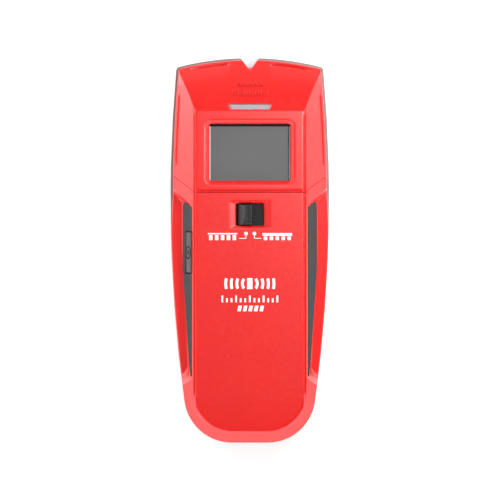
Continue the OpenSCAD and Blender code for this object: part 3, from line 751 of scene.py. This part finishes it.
def metal(name, rgb, roughness):
    """Plated or rolled metal with fine lines along it."""
    n = Nodes(name)
    lines = n.noise(900, 3, (1, 0.06, 1))
    drift = n.mix(n.spread(n.noise(120), 0, 1), colour(*rgb, 0.85), colour(*rgb))
    n.set("Base Color", drift)
    n.set("Roughness", n.spread(lines, roughness - 0.07, roughness + 0.1))
    n.set("Metallic", 1.0)
    n.bump(lines, 0.3, 0.00001)
    return n.material


def felt(name, rgb):
    """Short pressed fibres."""
    n = Nodes(name)
    fibres = n.noise(5200, 6, (1, 0.35, 1))
    drift = n.mix(n.spread(fibres, 0, 1), colour(*rgb, 0.6), colour(*rgb, 1.5))
    n.set("Base Color", drift)
    n.set("Roughness", n.spread(n.noise(300), 0.88, 0.98))
    n.set("Specular IOR Level", 0.1)
    n.bump(fibres, 0.8, 0.00008)
    return n.material


def circuit_board():
    """Green solder mask over faint tracks."""
    n = Nodes("circuit_board")
    tracks = n.spread(n.noise(420, 1, (1, 0.12, 1)), 0, 1, 0.49, 0.52)
    drift = n.mix(tracks, colour(0.012, 0.11, 0.045), colour(0.02, 0.16, 0.07))
    n.set("Base Color", drift)
    n.set("Roughness", n.spread(n.noise(200), 0.28, 0.4))
    n.bump(tracks, 0.4, 0.00003)
    return n.material


def battery_jacket():
    """Dark wrap with a copper-coloured band towards its top."""
    n = Nodes("battery_jacket")
    split = n.tree.nodes.new("ShaderNodeSeparateXYZ")
    n.link(n.where, split.inputs[0])
    band_low, band_high = -0.0335, -0.0332
    top = n.spread(split.outputs["Y"], 0, 1, band_low, band_high)
    drift = n.spread(n.noise(60), 0, 1)
    dark = n.mix(drift, colour(0.025, 0.026, 0.03), colour(0.035, 0.036, 0.04))
    band = n.mix(drift, colour(0.62, 0.30, 0.14), colour(0.68, 0.34, 0.17))
    n.set("Base Color", n.mix(top, dark, band))
    n.set("Roughness", n.spread(n.noise(250), 0.25, 0.36))
    n.bump(n.noise(900), 0.2, 0.00001)
    return n.material


RED_PLASTIC = moulded("red_moulded_plastic", (0.61, 0.0055, 0.0038), 0.33)
GRIP_RUBBER = moulded("grip_rubber", (0.031, 0.033, 0.034), 0.7, grain=4200, grain_depth=0.00003, edge_highlight=0.1,
                      specular=0.12)
KEY_PLASTIC = moulded("key_plastic", (0.061, 0.058, 0.057), 0.55, edge_highlight=0.3, specular=0.15)
KNOB_PLASTIC = moulded("knob_plastic", (0.015, 0.016, 0.016), 0.38, edge_highlight=0.4, specular=0.3)
PLATE_PLASTIC = moulded("plate_plastic", (0.023, 0.023, 0.023), 0.7, edge_highlight=0.1, specular=0.15)
GREY_PLASTIC = moulded("grey_plastic", (0.25, 0.24, 0.233), 0.5, specular=0.3)
BLACK_PLASTIC = moulded("black_plastic", (0.03, 0.03, 0.032), 0.45)
# Black print, also used for the painted shadow at the display's top and right edges
BLACK_PRINT_AND_PAINTED_SHADOW = moulded("black_print_and_painted_shadow", (0.010, 0.010, 0.011), 0.75, edge_highlight=0, specular=0.05)
# White print, also used for the painted highlight down the display's sides
WHITE_PRINT_AND_PAINTED_HIGHLIGHT = moulded("white_print_and_painted_highlight", (0.88, 0.88, 0.87), 0.45, grain=5200, grain_depth=0.000006, edge_highlight=0)
LIGHT_PLASTIC = moulded("frosted_plastic", (0.33, 0.295, 0.305), 0.35, grain=3600, grain_depth=0.000012)
DISPLAY_GLASS = moulded("display_glass", (0.22, 0.221, 0.22), 0.6, grain=900, grain_depth=0.000004, edge_highlight=0,
                        specular=0.1)
CLEAR_WINDOW = clear_material()

SLOT_MATERIALS = {
    "grey_plastic": GREY_PLASTIC,
    "black_plastic": BLACK_PLASTIC,
    "white_plastic": moulded("white_plastic", (0.78, 0.78, 0.76), 0.45),
    "red_lead_plastic": moulded("red_lead_plastic", (0.55, 0.02, 0.018), 0.4),
    "pink_rubber": moulded("pink_rubber", (0.72, 0.25, 0.27), 0.65, edge_highlight=0.1),
    "capacitor_sleeve": moulded("capacitor_sleeve", (0.03, 0.05, 0.13), 0.3),
    "felt": felt("felt_pad", (0.045, 0.046, 0.048)),
    "steel": metal("plated_steel", (0.62, 0.62, 0.61), 0.3),
    "copper": metal("copper_foil", (0.80, 0.42, 0.24), 0.28),
    "circuit_board": circuit_board(),
    "battery_jacket": battery_jacket(),
}


# ---- Front shells ----

def mirrored_grid(rows):
    """Grid of a front shell from its left edge to its right edge, with heights, as [row, column, xyz]."""
    right = np.array([grid_row(v) for v in rows])
    for hw, hl, cy, r in ((WINDOW_HW, WINDOW_HL, WINDOW_Y, WINDOW_R), (SLOT_HW, SLOT_HL, SLOT_Y, SLOT_R)):
        near = [j for j, v in enumerate(rows) if abs(abs(v - cy) - hl) < r + 0.01]
        round_corners(right, near, cy, hw, hl, r)
    heights = [front_z(right[..., 0], right[..., 1], side) for side in (-1, 1)]
    left, right = [np.concatenate([right, z[..., None]], 2) for z in heights]
    return np.concatenate([left[:, :0:-1] * np.array([-1, 1, 1]), right], 1)


def opening_mask(rows, low_v, high_v, first, last):
    """Cells of an opening, as [row, column] flags; first and last count columns from the left edge."""
    mask = np.zeros((len(rows) - 1, 2 * sum(COLUMN_CELLS)), bool)
    middle = (rows[:-1] + rows[1:]) / 2
    mask[np.ix_((middle > low_v) & (middle < high_v), range(first, last))] = True
    return mask


def add_side_wall(points, faces, path):
    """Wall from the points of a path down to the parting plane."""
    foot_z = PARTING_Z + 0.05
    previous = path
    for level in (0.03, 0.1, 0.3, 0.6, 1.0):
        ring = list(range(len(points), len(points) + len(path)))
        points += [points[k] + np.array([0, 0, (foot_z - points[k][2]) * level]) for k in path]
        faces += [(previous[k], ring[k], ring[k + 1], previous[k + 1]) for k in range(len(path) - 1)]
        previous = ring


def add_opening_walls(points, faces, mask, floor_z):
    """Walls from the edge of an opening in the grid down to a height."""
    n_cols = mask.shape[1] + 1
    lowered = {}

    def low(k):
        if k not in lowered:
            lowered[k] = len(points)
            x, y, z = points[k]
            points.append(np.array([x, y, min(floor_z, z - 0.1)]))
        return lowered[k]

    for j, i in zip(*np.nonzero(mask)):
        corners = [j * n_cols + i, j * n_cols + i + 1, (j + 1) * n_cols + i + 1, (j + 1) * n_cols + i]
        for side, (dj, di) in enumerate(((-1, 0), (0, 1), (1, 0), (0, -1))):
            if not mask[j + dj, i + di]:
                p, q = corners[side], corners[(side + 1) % 4]
                faces.append((p, q, low(q), low(p)))


def shell_mesh(name, rows, holes, closed_end, node):
    """Front shell: the surface with its openings, a wall down to the parting plane, and thickness inside."""
    grid = mirrored_grid(rows)
    n_rows, n_cols = grid.shape[:2]
    points = list(grid.reshape(-1, 3))
    removed = np.any([mask for mask, _ in holes], axis=0)
    faces = [face for face, gone in zip(quads(n_rows, n_cols), removed.ravel()) if not gone]
    left = [j * n_cols for j in range(n_rows)]
    right = [k + n_cols - 1 for k in left]
    if closed_end == "tail":
        path = left[::-1] + list(range(1, n_cols)) + right[1:]
    else:
        path = right + [left[-1] + i for i in range(n_cols - 2, -1, -1)] + left[::-1][1:]
    add_side_wall(points, faces, path)
    for mask, floor_z in holes:
        if floor_z is not None:
            add_opening_walls(points, faces, mask, floor_z)
    obj = make_piece(name, points, faces, node, "housing", RED_PLASTIC)
    add_thickness(obj, SHELL_T)


def make_front_shells():
    """Handle shell, open at the switch and the scan key; head shell, open at the display and the light."""
    half = sum(COLUMN_CELLS)
    slot_cols, light_cols, window_cols = [(half - cell_start(k), half + cell_start(k)) for k in (3, 4, 5)]
    slot = opening_mask(LOWER_ROWS, SLOT_Y - SLOT_HL, SLOT_Y + SLOT_HL, *slot_cols)
    key = opening_mask(LOWER_ROWS, *KEY_WINDOW, half - cell_start(10), half - cell_start(9))
    holes = [(slot, KNOB_LOW[2] + KNOB_PLATE_T + 0.1), (key, None)]
    shell_mesh("lower_front", LOWER_ROWS, holes, "tail", "lower_front_shell")
    window = opening_mask(UPPER_ROWS, WINDOW_Y - WINDOW_HL, WINDOW_Y + WINDOW_HL, *window_cols)
    light = opening_mask(UPPER_ROWS, LIGHT_LOW[1], LIGHT_HIGH[1], *light_cols)
    holes = [(window, LENS_HIGH[2] + 0.02), (light, LIGHT_WELL_Z)]
    shell_mesh("upper_front", UPPER_ROWS, holes, "head", "upper_front_shell")


# ---- Rubber grips ----

PAD_PROUD = 0.25
PAD_T = 1.2
PAD_EDGE_R = 0.55
PAD_END_LOW = RECESS_LOW[0] + 1.2
PAD_END_HIGH = RECESS_TOP[0] - 0.7
PAD_SKEW = [(PAD_END_LOW, RECESS_LOW[1]), (-44, 0), (10, 0), (PAD_END_HIGH, RECESS_TOP[1])]
PAD_FLARE = [(PAD_END_LOW, 0.15), (-47, 0.5), (-30, 0.6), (-8, 0.65), (2, 0.1), (PAD_END_HIGH, 0)]
PAD_SPLIT = 0.64
PAD_LEAN = 1.05
HATCH_PITCH = 1.3
HATCH_H = 0.09


def pad_heights(y, t):
    """Heights of the pad's top edge, its lower edge, the line at the key's foot and its points.

    t is the share of the way down the pad.
    """
    top = face_z(y) - 2
    low = foot_z_at(y) + 0.5
    near_key = 1 - smooth_step((np.abs(y - KEY_Y) - KEY_HL - 1) / 6)
    split = low + (1 - PAD_SPLIT) * (top - low)
    split = split + (KEY_FOOT_Z - KEY_FOOT_GAP - split) * near_key
    above = top + (split - top) * t / PAD_SPLIT
    below = split + (low - split) * (t - PAD_SPLIT) / (1 - PAD_SPLIT)
    return top, low, split, np.where(t < PAD_SPLIT, above, below)


def hatch(y, z):
    """Fine diamond pattern, from 0 to 1."""
    u, w = y / HATCH_PITCH, z * PAD_LEAN / HATCH_PITCH
    return np.cos(math.pi * (u + w)) ** 2 * np.cos(math.pi * (u - w)) ** 2


def make_grip(name, side, node):
    """Rubber pad on a recess wall, with a fine cross hatch; the left one has a window for the scan key."""
    along = ladder((PAD_END_LOW, 5), (PAD_END_LOW + 1, 130), (KEY_WINDOW[0], 58), (KEY_WINDOW[1], 28),
                   (PAD_END_HIGH - 1.5, 10), (PAD_END_HIGH, 0))
    down = ladder((0, 4), (0.06, 20), (PAD_SPLIT, 12), (0.94, 4), (1, 0))[::-1]
    y0, t = np.meshgrid(along[::side], down)
    top, low, split, z = pad_heights(y0, t)
    across = np.minimum(t, 1 - t) * (top - low) * PAD_LEAN
    edge = np.minimum(across, np.minimum(y0 - PAD_END_LOW, PAD_END_HIGH - y0))
    if side < 0:
        past_key = np.abs(y0 - KEY_Y) - KEY_HL - KEY_GAP
        below_key = (split - z) * PAD_LEAN
        edge = np.minimum(edge, np.maximum(past_key, below_key) + 0.06)
    flare = follow(PAD_FLARE, y0) * np.clip(t, 0, 1) ** 1.6
    pattern = HATCH_H * hatch(y0, z) * smooth_step((edge - 0.5) / 0.4)
    x = wall_x(y0, z) + PAD_PROUD - edge_round(edge, PAD_EDGE_R) + pattern + flare
    corner = np.clip((t - 0.72) / 0.28, 0, 1) * 1.9 + np.clip((0.12 - t) / 0.12, 0, 1) * 0.7
    y = y0 + follow(PAD_SKEW, y0) * (x - RECESS_X)
    y = y - corner ** 2 * 0.8 * smooth_step((y0 - PAD_END_HIGH + 4) / 4)
    faces = quads(*y0.shape)
    if side < 0:
        mid_y, mid_t = [(v[1:, 1:] + v[:-1, :-1]) / 2 for v in (y0, t)]
        hole = (mid_y > KEY_WINDOW[0]) & (mid_y < KEY_WINDOW[1]) & (mid_t < PAD_SPLIT)
        faces = [face for face, gone in zip(faces, hole.ravel()) if not gone]
    points = np.stack([side * x, y, z], 2).reshape(-1, 3)
    add_thickness(make_piece(name, points, faces, node, "housing", GRIP_RUBBER), PAD_T)


# ---- Scan key ----

KEY_PROUD = 0.5
KEY_T = 2.6


def make_scan_key():
    """Key cap on the slope of the left recess wall."""
    edge_w = 0.6
    up = ladder((KEY_FOOT_Z, 5), (KEY_FOOT_Z + edge_w, 34), (KEY_TOP_Z - edge_w, 5), (KEY_TOP_Z, 0))
    along = ladder((KEY_Y - KEY_HL, 5), (KEY_Y - KEY_HL + edge_w, 20), (KEY_Y - 3, 42), (KEY_Y + 3, 20),
                   (KEY_Y + KEY_HL - edge_w, 5), (KEY_Y + KEY_HL, 0))
    z, y = np.meshgrid(up, along)
    edge = np.minimum(np.minimum(z - KEY_FOOT_Z, KEY_TOP_Z - z), KEY_HL - np.abs(y - KEY_Y))
    x = wall_x(KEY_Y, z) + KEY_PROUD - edge_round(edge, 0.5)
    points, faces = pillow(np.stack([-x, y, z], 2), (KEY_T, 0, 0))
    make_piece("scan_key_cap", points, faces, "scan_key", "key", KEY_PLASTIC)


# ---- Mode switch ----

KNOB_X = (KNOB_LOW[0] + KNOB_HIGH[0]) / 2
PLATE_TOP = KNOB_LOW[2] + KNOB_PLATE_T
RIDGE_H = KNOB_HIGH[2] - PLATE_TOP

# Outline of the ridge from left to right, as (place across, depth below the top)
RIDGE = [(-3.05, RIDGE_H), (-2.75, 1.5), (-2.35, 0.35), (-1.85, 0.28), (-1.6, 0), (-1.3, 0.3), (-0.6, 0.5),
         (0.3, 0.55), (1.4, 0.5), (2.5, 0.28), (2.85, 0), (3.1, 0.3), (3.3, 1.2), (3.4, RIDGE_H)]


def make_knob():
    """Ridged finger piece with two raised pips, and the plate that slides with it under the opening."""
    half_l = (KNOB_HIGH[1] - KNOB_LOW[1]) / 2 - 1.35
    end_r = 0.7
    across = np.linspace(RIDGE[0][0], RIDGE[-1][0], 90)
    along = ladder((-half_l, 6), (end_r - half_l, 26), (half_l - end_r, 6), (half_l, 0))
    x, y = np.meshgrid(across, along)
    z = KNOB_HIGH[2] - follow(RIDGE, x) - 1.6 * edge_round(half_l - np.abs(y), end_r)
    z = np.maximum(z, PLATE_TOP)
    for pip_x in (0.05, 1.15):
        z = z + 0.28 * bump((x - pip_x) / 0.3) * bump((y + half_l - 1.7) / 1.1)
    points, faces = pillow(np.stack([x + KNOB_X, y + SLOT_Y, z], 2), (0, 0, KNOB_LOW[2] + 0.1 - PLATE_TOP))
    make_piece("mode_knob_ridge", points, faces, "mode_knob", "mode_switch", KNOB_PLASTIC)
    points, faces = slab(KNOB_LOW, (*KNOB_HIGH[:2], PLATE_TOP), 0.6, 0.12)
    make_piece("mode_knob_plate", points, faces, "mode_knob", "mode_switch", PLATE_PLASTIC)


# ---- Display and indicator light ----

GLASS_LOW, GLASS_HIGH = box_mm("lcd_glass")
# Sizes of the display's painted shadow and painted highlight: height of the dark top bar, width of the pale
# side bars, and width of the dark side bar
PAINTED_SHADOW_TOP_H = 1.3
PAINTED_HIGHLIGHT_W = 0.7
PAINTED_SHADOW_SIDE_W = 0.35
LIGHT_GAP = 0.05


def make_display():
    """Clear window and the display glass under it."""
    points, faces = slab(LENS_LOW, LENS_HIGH, 1, 0.15)
    make_piece("display_window", points, faces, "display_lens", "housing", CLEAR_WINDOW)
    points, faces = slab(GLASS_LOW, GLASS_HIGH, 0.4, 0.1)
    make_piece("display_glass", points, faces, "lcd_glass", "housing", DISPLAY_GLASS)


def make_display_painted_light():
    """Painted shadow under the top and right edges of the window, and a painted highlight down both sides."""
    tuck = 0.2
    in_x = WINDOW_HW + tuck
    low_y, high_y = WINDOW_Y - WINDOW_HL - tuck, WINDOW_Y + WINDOW_HL + tuck
    side_top = high_y - PAINTED_SHADOW_TOP_H
    highlight_x = in_x - PAINTED_HIGHLIGHT_W
    # Painted shadow: dark bars at the top and down the right side stand in for the shade that the bezel casts
    # on the display glass
    dark = [bar(-in_x, side_top, in_x, high_y), bar(highlight_x - PAINTED_SHADOW_SIDE_W, low_y, highlight_x, side_top)]
    # Painted highlight: pale bars down both sides stand in for light caught by the window's edges
    pale = [bar(-in_x, low_y, -highlight_x, side_top), bar(highlight_x, low_y, in_x, side_top)]
    shadow_z, highlight_z = GLASS_HIGH[2] + 0.06, LENS_LOW[2] - 0.02
    make_marks("display_painted_shadow", dark, lambda x, y, d: (x, y, shadow_z - d), 0.05, BLACK_PRINT_AND_PAINTED_SHADOW)
    make_marks("display_painted_highlight", pale, lambda x, y, d: (x, y, highlight_z - d), 0.05, WHITE_PRINT_AND_PAINTED_HIGHLIGHT)


def make_light_window():
    """Frosted bar that fills its opening just below the nose face."""
    low_y, high_y, high_hw = LIGHT_LOW[1], LIGHT_HIGH[1], LIGHT_HIGH[0]
    across, along = np.linspace(-1, 1, 41), np.linspace(0, 1, 9)
    u, t = np.meshgrid(across, along)
    hw = LIGHT_LOW_HW + (high_hw - LIGHT_LOW_HW) * t - LIGHT_GAP
    y = low_y + LIGHT_GAP + (high_y - low_y - 2 * LIGHT_GAP) * t
    edge = np.minimum((1 - np.abs(u)) * hw, np.minimum(t, 1 - t) * (high_y - low_y))
    z = nose_z(y) - 0.12 - edge_round(edge, 0.3)
    points, faces = pillow(np.stack([u * hw, y, z], 2), (0, 0, -3))
    make_piece("light_bar", points, faces, "light_window", "housing", LIGHT_PLASTIC)


# ---- Printed and raised marks ----

PRINT_PROUD = 0.03
RAISED_PROUD = 0.45
KEY_MARK_PROUD = KEY_PROUD + 0.06


def switch_marks():
    """A dot and a line for each place of the knob, and a wall with thin or thick board behind studs."""
    dot_y, line_y, stud_y, board_y = 7.0, 4.9, 4.3, 7.2
    shapes = []
    for side, start, board in ((-1, -17.4, 0.5), (1, 5.3, 1.15)):
        x = 0.15 + side * 1.75
        ends = sorted((x, x + side * 2.8))
        shapes += [disc(x, dot_y, 0.75), bar(x - 0.12, line_y, x + 0.12, dot_y - 0.5),
                   bar(ends[0], line_y, ends[1], line_y + 0.22),
                   bar(start, board_y - board, start + 12.2, board_y)]
        stud_top = board_y - board - 0.3
        shapes += [bar(start + 0.5 + 2.45 * k, stud_y, start + 1.9 + 2.45 * k, stud_top) for k in range(5)]
    return shapes


def sensor_marks():
    """A stud with waves on both sides, above a row of scale marks and a row of leaning bars."""
    mid_y, half_h, scale_y = -13.75, 2.25, -21.5
    shapes = [bar(-1.1, mid_y - half_h, 1.1, mid_y + half_h)]
    for direction in (0, 180):
        for r in (3.1, 5.4, 7.7, 10.0):
            spread = math.degrees(math.asin(min(1, half_h / (r + 0.5))))
            shapes.append(arc_band(0, mid_y, r, 1.1, direction, spread))
    for k in range(-6, 7):
        tall = 2.8 if k % 3 == 0 else 1.7
        shapes.append(bar(1.9 * k - 0.35, scale_y, 1.9 * k + 0.35, scale_y + tall))
    shapes += [bar(-5.2 + 2.3 * k, -25.2, -3.8 + 2.3 * k, -22.9, lean=0.5) for k in range(5)]
    return shapes


def nose_marks():
    """Arrows towards the notch above a scale."""
    low, bend, top, scale_y = 68.4, 69.7, 70.3, 64.5
    shapes = []
    for x in (-4.6, -2.3, 0, 2.3, 4.6):
        shapes.append([(x - 0.95, low), (x - 0.5, low), (x + 0.05, bend), (x, top), (x - 0.15, top)])
        shapes.append([(x + 0.15, top), (x, top), (x - 0.05, bend), (x + 0.5, low), (x + 0.95, low)])
    for k in range(-6, 7):
        tall = 2.2 if k % 2 == 0 else 1.3
        shapes.append(bar(1.2 * k - 0.18, scale_y, 1.2 * k + 0.18, scale_y + tall))
    return shapes


def make_all_marks():
    """White print on the face, marks moulded into the nose, and a ring and dot on the scan key."""
    make_marks("printed_marks", switch_marks() + sensor_marks(),
               lambda x, y, d: (x, y, plateau_z(y) + PRINT_PROUD - d), 0.08, WHITE_PRINT_AND_PAINTED_HIGHLIGHT)
    raised = make_marks("raised_marks", nose_marks(), lambda x, y, d: (x, y, nose_z(y) + RAISED_PROUD - d),
                        0.75, RED_PLASTIC)
    add_bevel(raised, 0.12, harden_normals=True)
    middle_z = (KEY_FOOT_Z + KEY_TOP_Z) / 2
    ring = [arc_band(middle_z, KEY_Y, 2.5, 0.55, direction, 90, 14) for direction in (0, 180)]
    make_marks("key_marks", ring + [disc(middle_z, KEY_Y, 0.9)],
               lambda z, y, d: (d - KEY_MARK_PROUD - wall_x(KEY_Y, z), y, z), 0.12, BLACK_PRINT_AND_PAINTED_SHADOW,
               "key")


# ---- Pieces that are shown as their CAD nodes ----

def clean_edges(obj, width):
    """Joins the flat facets of a CAD piece and rounds its edges a little."""
    obj.modifiers.new("join", "WELD").merge_threshold = 0.000002
    flat = obj.modifiers.new("flat", "DECIMATE")
    flat.decimate_type = "DISSOLVE"
    flat.angle_limit = math.radians(1.0)
    add_bevel(obj, width, harden_normals=False)
    obj.modifiers.new("normals", "WEIGHTED_NORMAL").weight = 100
    for polygon in obj.data.polygons:
        polygon.use_smooth = True


def finish_cad_pieces():
    """Materials and round edges for the pieces that are shown as their CAD nodes."""
    slots = {entry["node"]: entry["material_slot"] for entry in frame["record"]["subparts"]}
    for name, obj in frame["nodes"].items():
        if obj.hide_render:
            continue
        low, high = box_mm(name)
        clean_edges(obj, min(0.2, 0.08 * min(high - low)))
        for slot in obj.material_slots:
            slot.material = SLOT_MATERIALS[slots[name]]


# ---- Stage, lights and camera ----

def make_floor():
    """Wide pale floor, a hair below the glide pads so that no faces coincide."""
    n = Nodes("pale_floor")
    drift = n.mix(n.spread(n.noise(3), 0, 1), colour(0.93, 0.93, 0.93), colour(0.95, 0.95, 0.95))
    n.set("Base Color", drift)
    n.set("Roughness", 0.9)
    n.set("Specular IOR Level", 0.1)
    n.set("Emission Color", (1, 1, 1, 1))
    n.set("Emission Strength", 0.3)
    half_w, floor_z = 3.0, -0.0001
    corners = [(x * half_w, y * half_w, floor_z) for x, y in ((-1, -1), (1, -1), (1, 1), (-1, 1))]
    mesh = bpy.data.meshes.new("floor")
    mesh.from_pydata(corners, [], [(0, 1, 2, 3)])
    mesh.materials.append(n.material)
    floor = bpy.data.objects.new("floor", mesh)
    bpy.context.scene.collection.objects.link(floor)


def area_light(name, place, target, size, power):
    """Light panel that faces a target; size is its width and height."""
    data = bpy.data.lights.new(name, "AREA")
    data.shape = "RECTANGLE"
    data.size, data.size_y = size
    data.energy = power
    lamp = bpy.data.objects.new(name, data)
    lamp.location = place
    lamp.rotation_euler = (Vector(target) - Vector(place)).to_track_quat("-Z", "Y").to_euler()
    bpy.context.scene.collection.objects.link(lamp)


# Brightness of the studio by height above the horizon, as (sine of the height, brightness), and the
# glows that are added towards one side, as (axis, sign, the same stops)
OVERHEAD = [(0.0, 0.3), (0.6, 0.08), (0.8, 0.08), (0.93, 0.3), (1.0, 0.5)]
LEFT_GLOW = ("X", -1, [(0.0, 4.6), (0.17, 3.8), (0.34, 1.3), (0.5, 0.6), (0.75, 0.9), (0.9, 0.9), (1.0, 0.2)])
RIGHT_GLOW = ("X", 1, [(0.0, 3.6), (0.17, 3.2), (0.34, 1.2), (0.5, 0.2), (0.64, 0.0)])
HEAD_GLOW = ("Y", 1, [(0.0, 0.6), (0.42, 1.0), (0.56, 1.9), (0.66, 0.1), (0.74, 0.0)])
TAIL_GLOW = ("Y", -1, [(0.0, 4.0), (0.3, 3.1), (0.5, 0.5), (0.6, 0.0)])


class StudioNodes:
    """Sum of soft glows for the world background."""

    def __init__(self, tree):
        self.tree = tree
        coords = tree.nodes.new("ShaderNodeTexCoord")
        split = tree.nodes.new("ShaderNodeSeparateXYZ")
        tree.links.new(coords.outputs["Generated"], split.inputs[0])
        self.axes = split.outputs

    def ramp(self, stops):
        """Brightness by height; a ramp holds 0 to 1, so the stops are scaled by their highest."""
        top = max(level for _, level in stops)
        node = self.tree.nodes.new("ShaderNodeValToRGB")
        while len(node.color_ramp.elements) < len(stops):
            node.color_ramp.elements.new(0.5)
        for element, (place, level) in zip(node.color_ramp.elements, stops):
            element.position = place
            element.color = (level / top, level / top, level / top, 1)
        self.tree.links.new(self.axes["Z"], node.inputs["Fac"])
        return self.math("MULTIPLY", node.outputs["Color"], top)

    def math(self, operation, a, b):
        """Result of a math node on two values, each a number or an output."""
        node = self.tree.nodes.new("ShaderNodeMath")
        node.operation = operation
        feed(self.tree, node.inputs[0], a)
        feed(self.tree, node.inputs[1], b)
        return node.outputs[0]

    def above_ground(self):
        """1 above the horizon, falling to a fifth below it."""
        rise = self.math("MULTIPLY", self.axes["Z"], 4.0)
        return self.math("MINIMUM", self.math("MAXIMUM", self.math("ADD", rise, 1.0), 0.2), 1.0)

    def facing(self, axis, sign):
        """How much a point of the background lies towards one end of an axis, from 0 to 1."""
        return self.math("MAXIMUM", self.math("MULTIPLY", self.axes[axis], sign), 0.0)


def make_world():
    """Soft studio: a dim dome with bright glows round the horizon."""
    world = bpy.data.worlds.new("studio")
    world.use_nodes = True
    studio = StudioNodes(world.node_tree)
    total = studio.ramp(OVERHEAD)
    for axis, sign, stops in (LEFT_GLOW, RIGHT_GLOW, HEAD_GLOW, TAIL_GLOW):
        glow = studio.math("MULTIPLY", studio.ramp(stops), studio.facing(axis, sign))
        total = studio.math("ADD", total, glow)
    strength = studio.math("MULTIPLY", total, studio.above_ground())
    background = world.node_tree.nodes["Background"]
    world.node_tree.links.new(strength, background.inputs["Strength"])
    background.inputs["Color"].default_value = (1, 1, 1, 1)
    bpy.context.scene.world = world


def make_lights():
    """Key light near the camera's upper right, and a low strip on each side of the head."""
    area_light("key", (0.105, 0.085, 0.35), (0, 0, 0.02), (0.08, 0.08), 0.95)
    area_light("left_strip", (-0.25, 0.17, 0.014), (-0.02, 0.06, 0.014), (0.2, 0.024), 0.5)
    area_light("right_strip", (0.25, 0.18, 0.014), (0.02, 0.06, 0.014), (0.2, 0.024), 0.32)
    bpy.context.scene.view_settings.view_transform = "Standard"
    bpy.context.scene.view_settings.look = "None"


def make_camera():
    """Camera straight above, with the object's length over a share of the frame."""
    share, height, sensor = 0.769, 5.0, 36.0
    view_width = 2 * BODY_HL * MM / share
    data = bpy.data.cameras.new("camera")
    data.sensor_width = sensor
    data.lens = sensor * (height - PARTING_Z * MM) / view_width
    data.clip_end = 20
    camera = bpy.data.objects.new("camera", data)
    camera.location = (0.00007, 0.000185, height)
    camera.rotation_euler = (0, 0, 0)
    bpy.context.scene.collection.objects.link(camera)
    bpy.context.scene.camera = camera


# ---- Everything in order ----

make_front_shells()
make_grip("right_grip_pad", 1, "right_grip")
make_grip("left_grip_pad", -1, "left_grip")
make_scan_key()
make_knob()
make_display()
make_display_painted_light()
make_light_window()
make_all_marks()
finish_cad_pieces()
make_floor()
make_world()
make_lights()
make_camera()

bpy.context.view_layer.update()
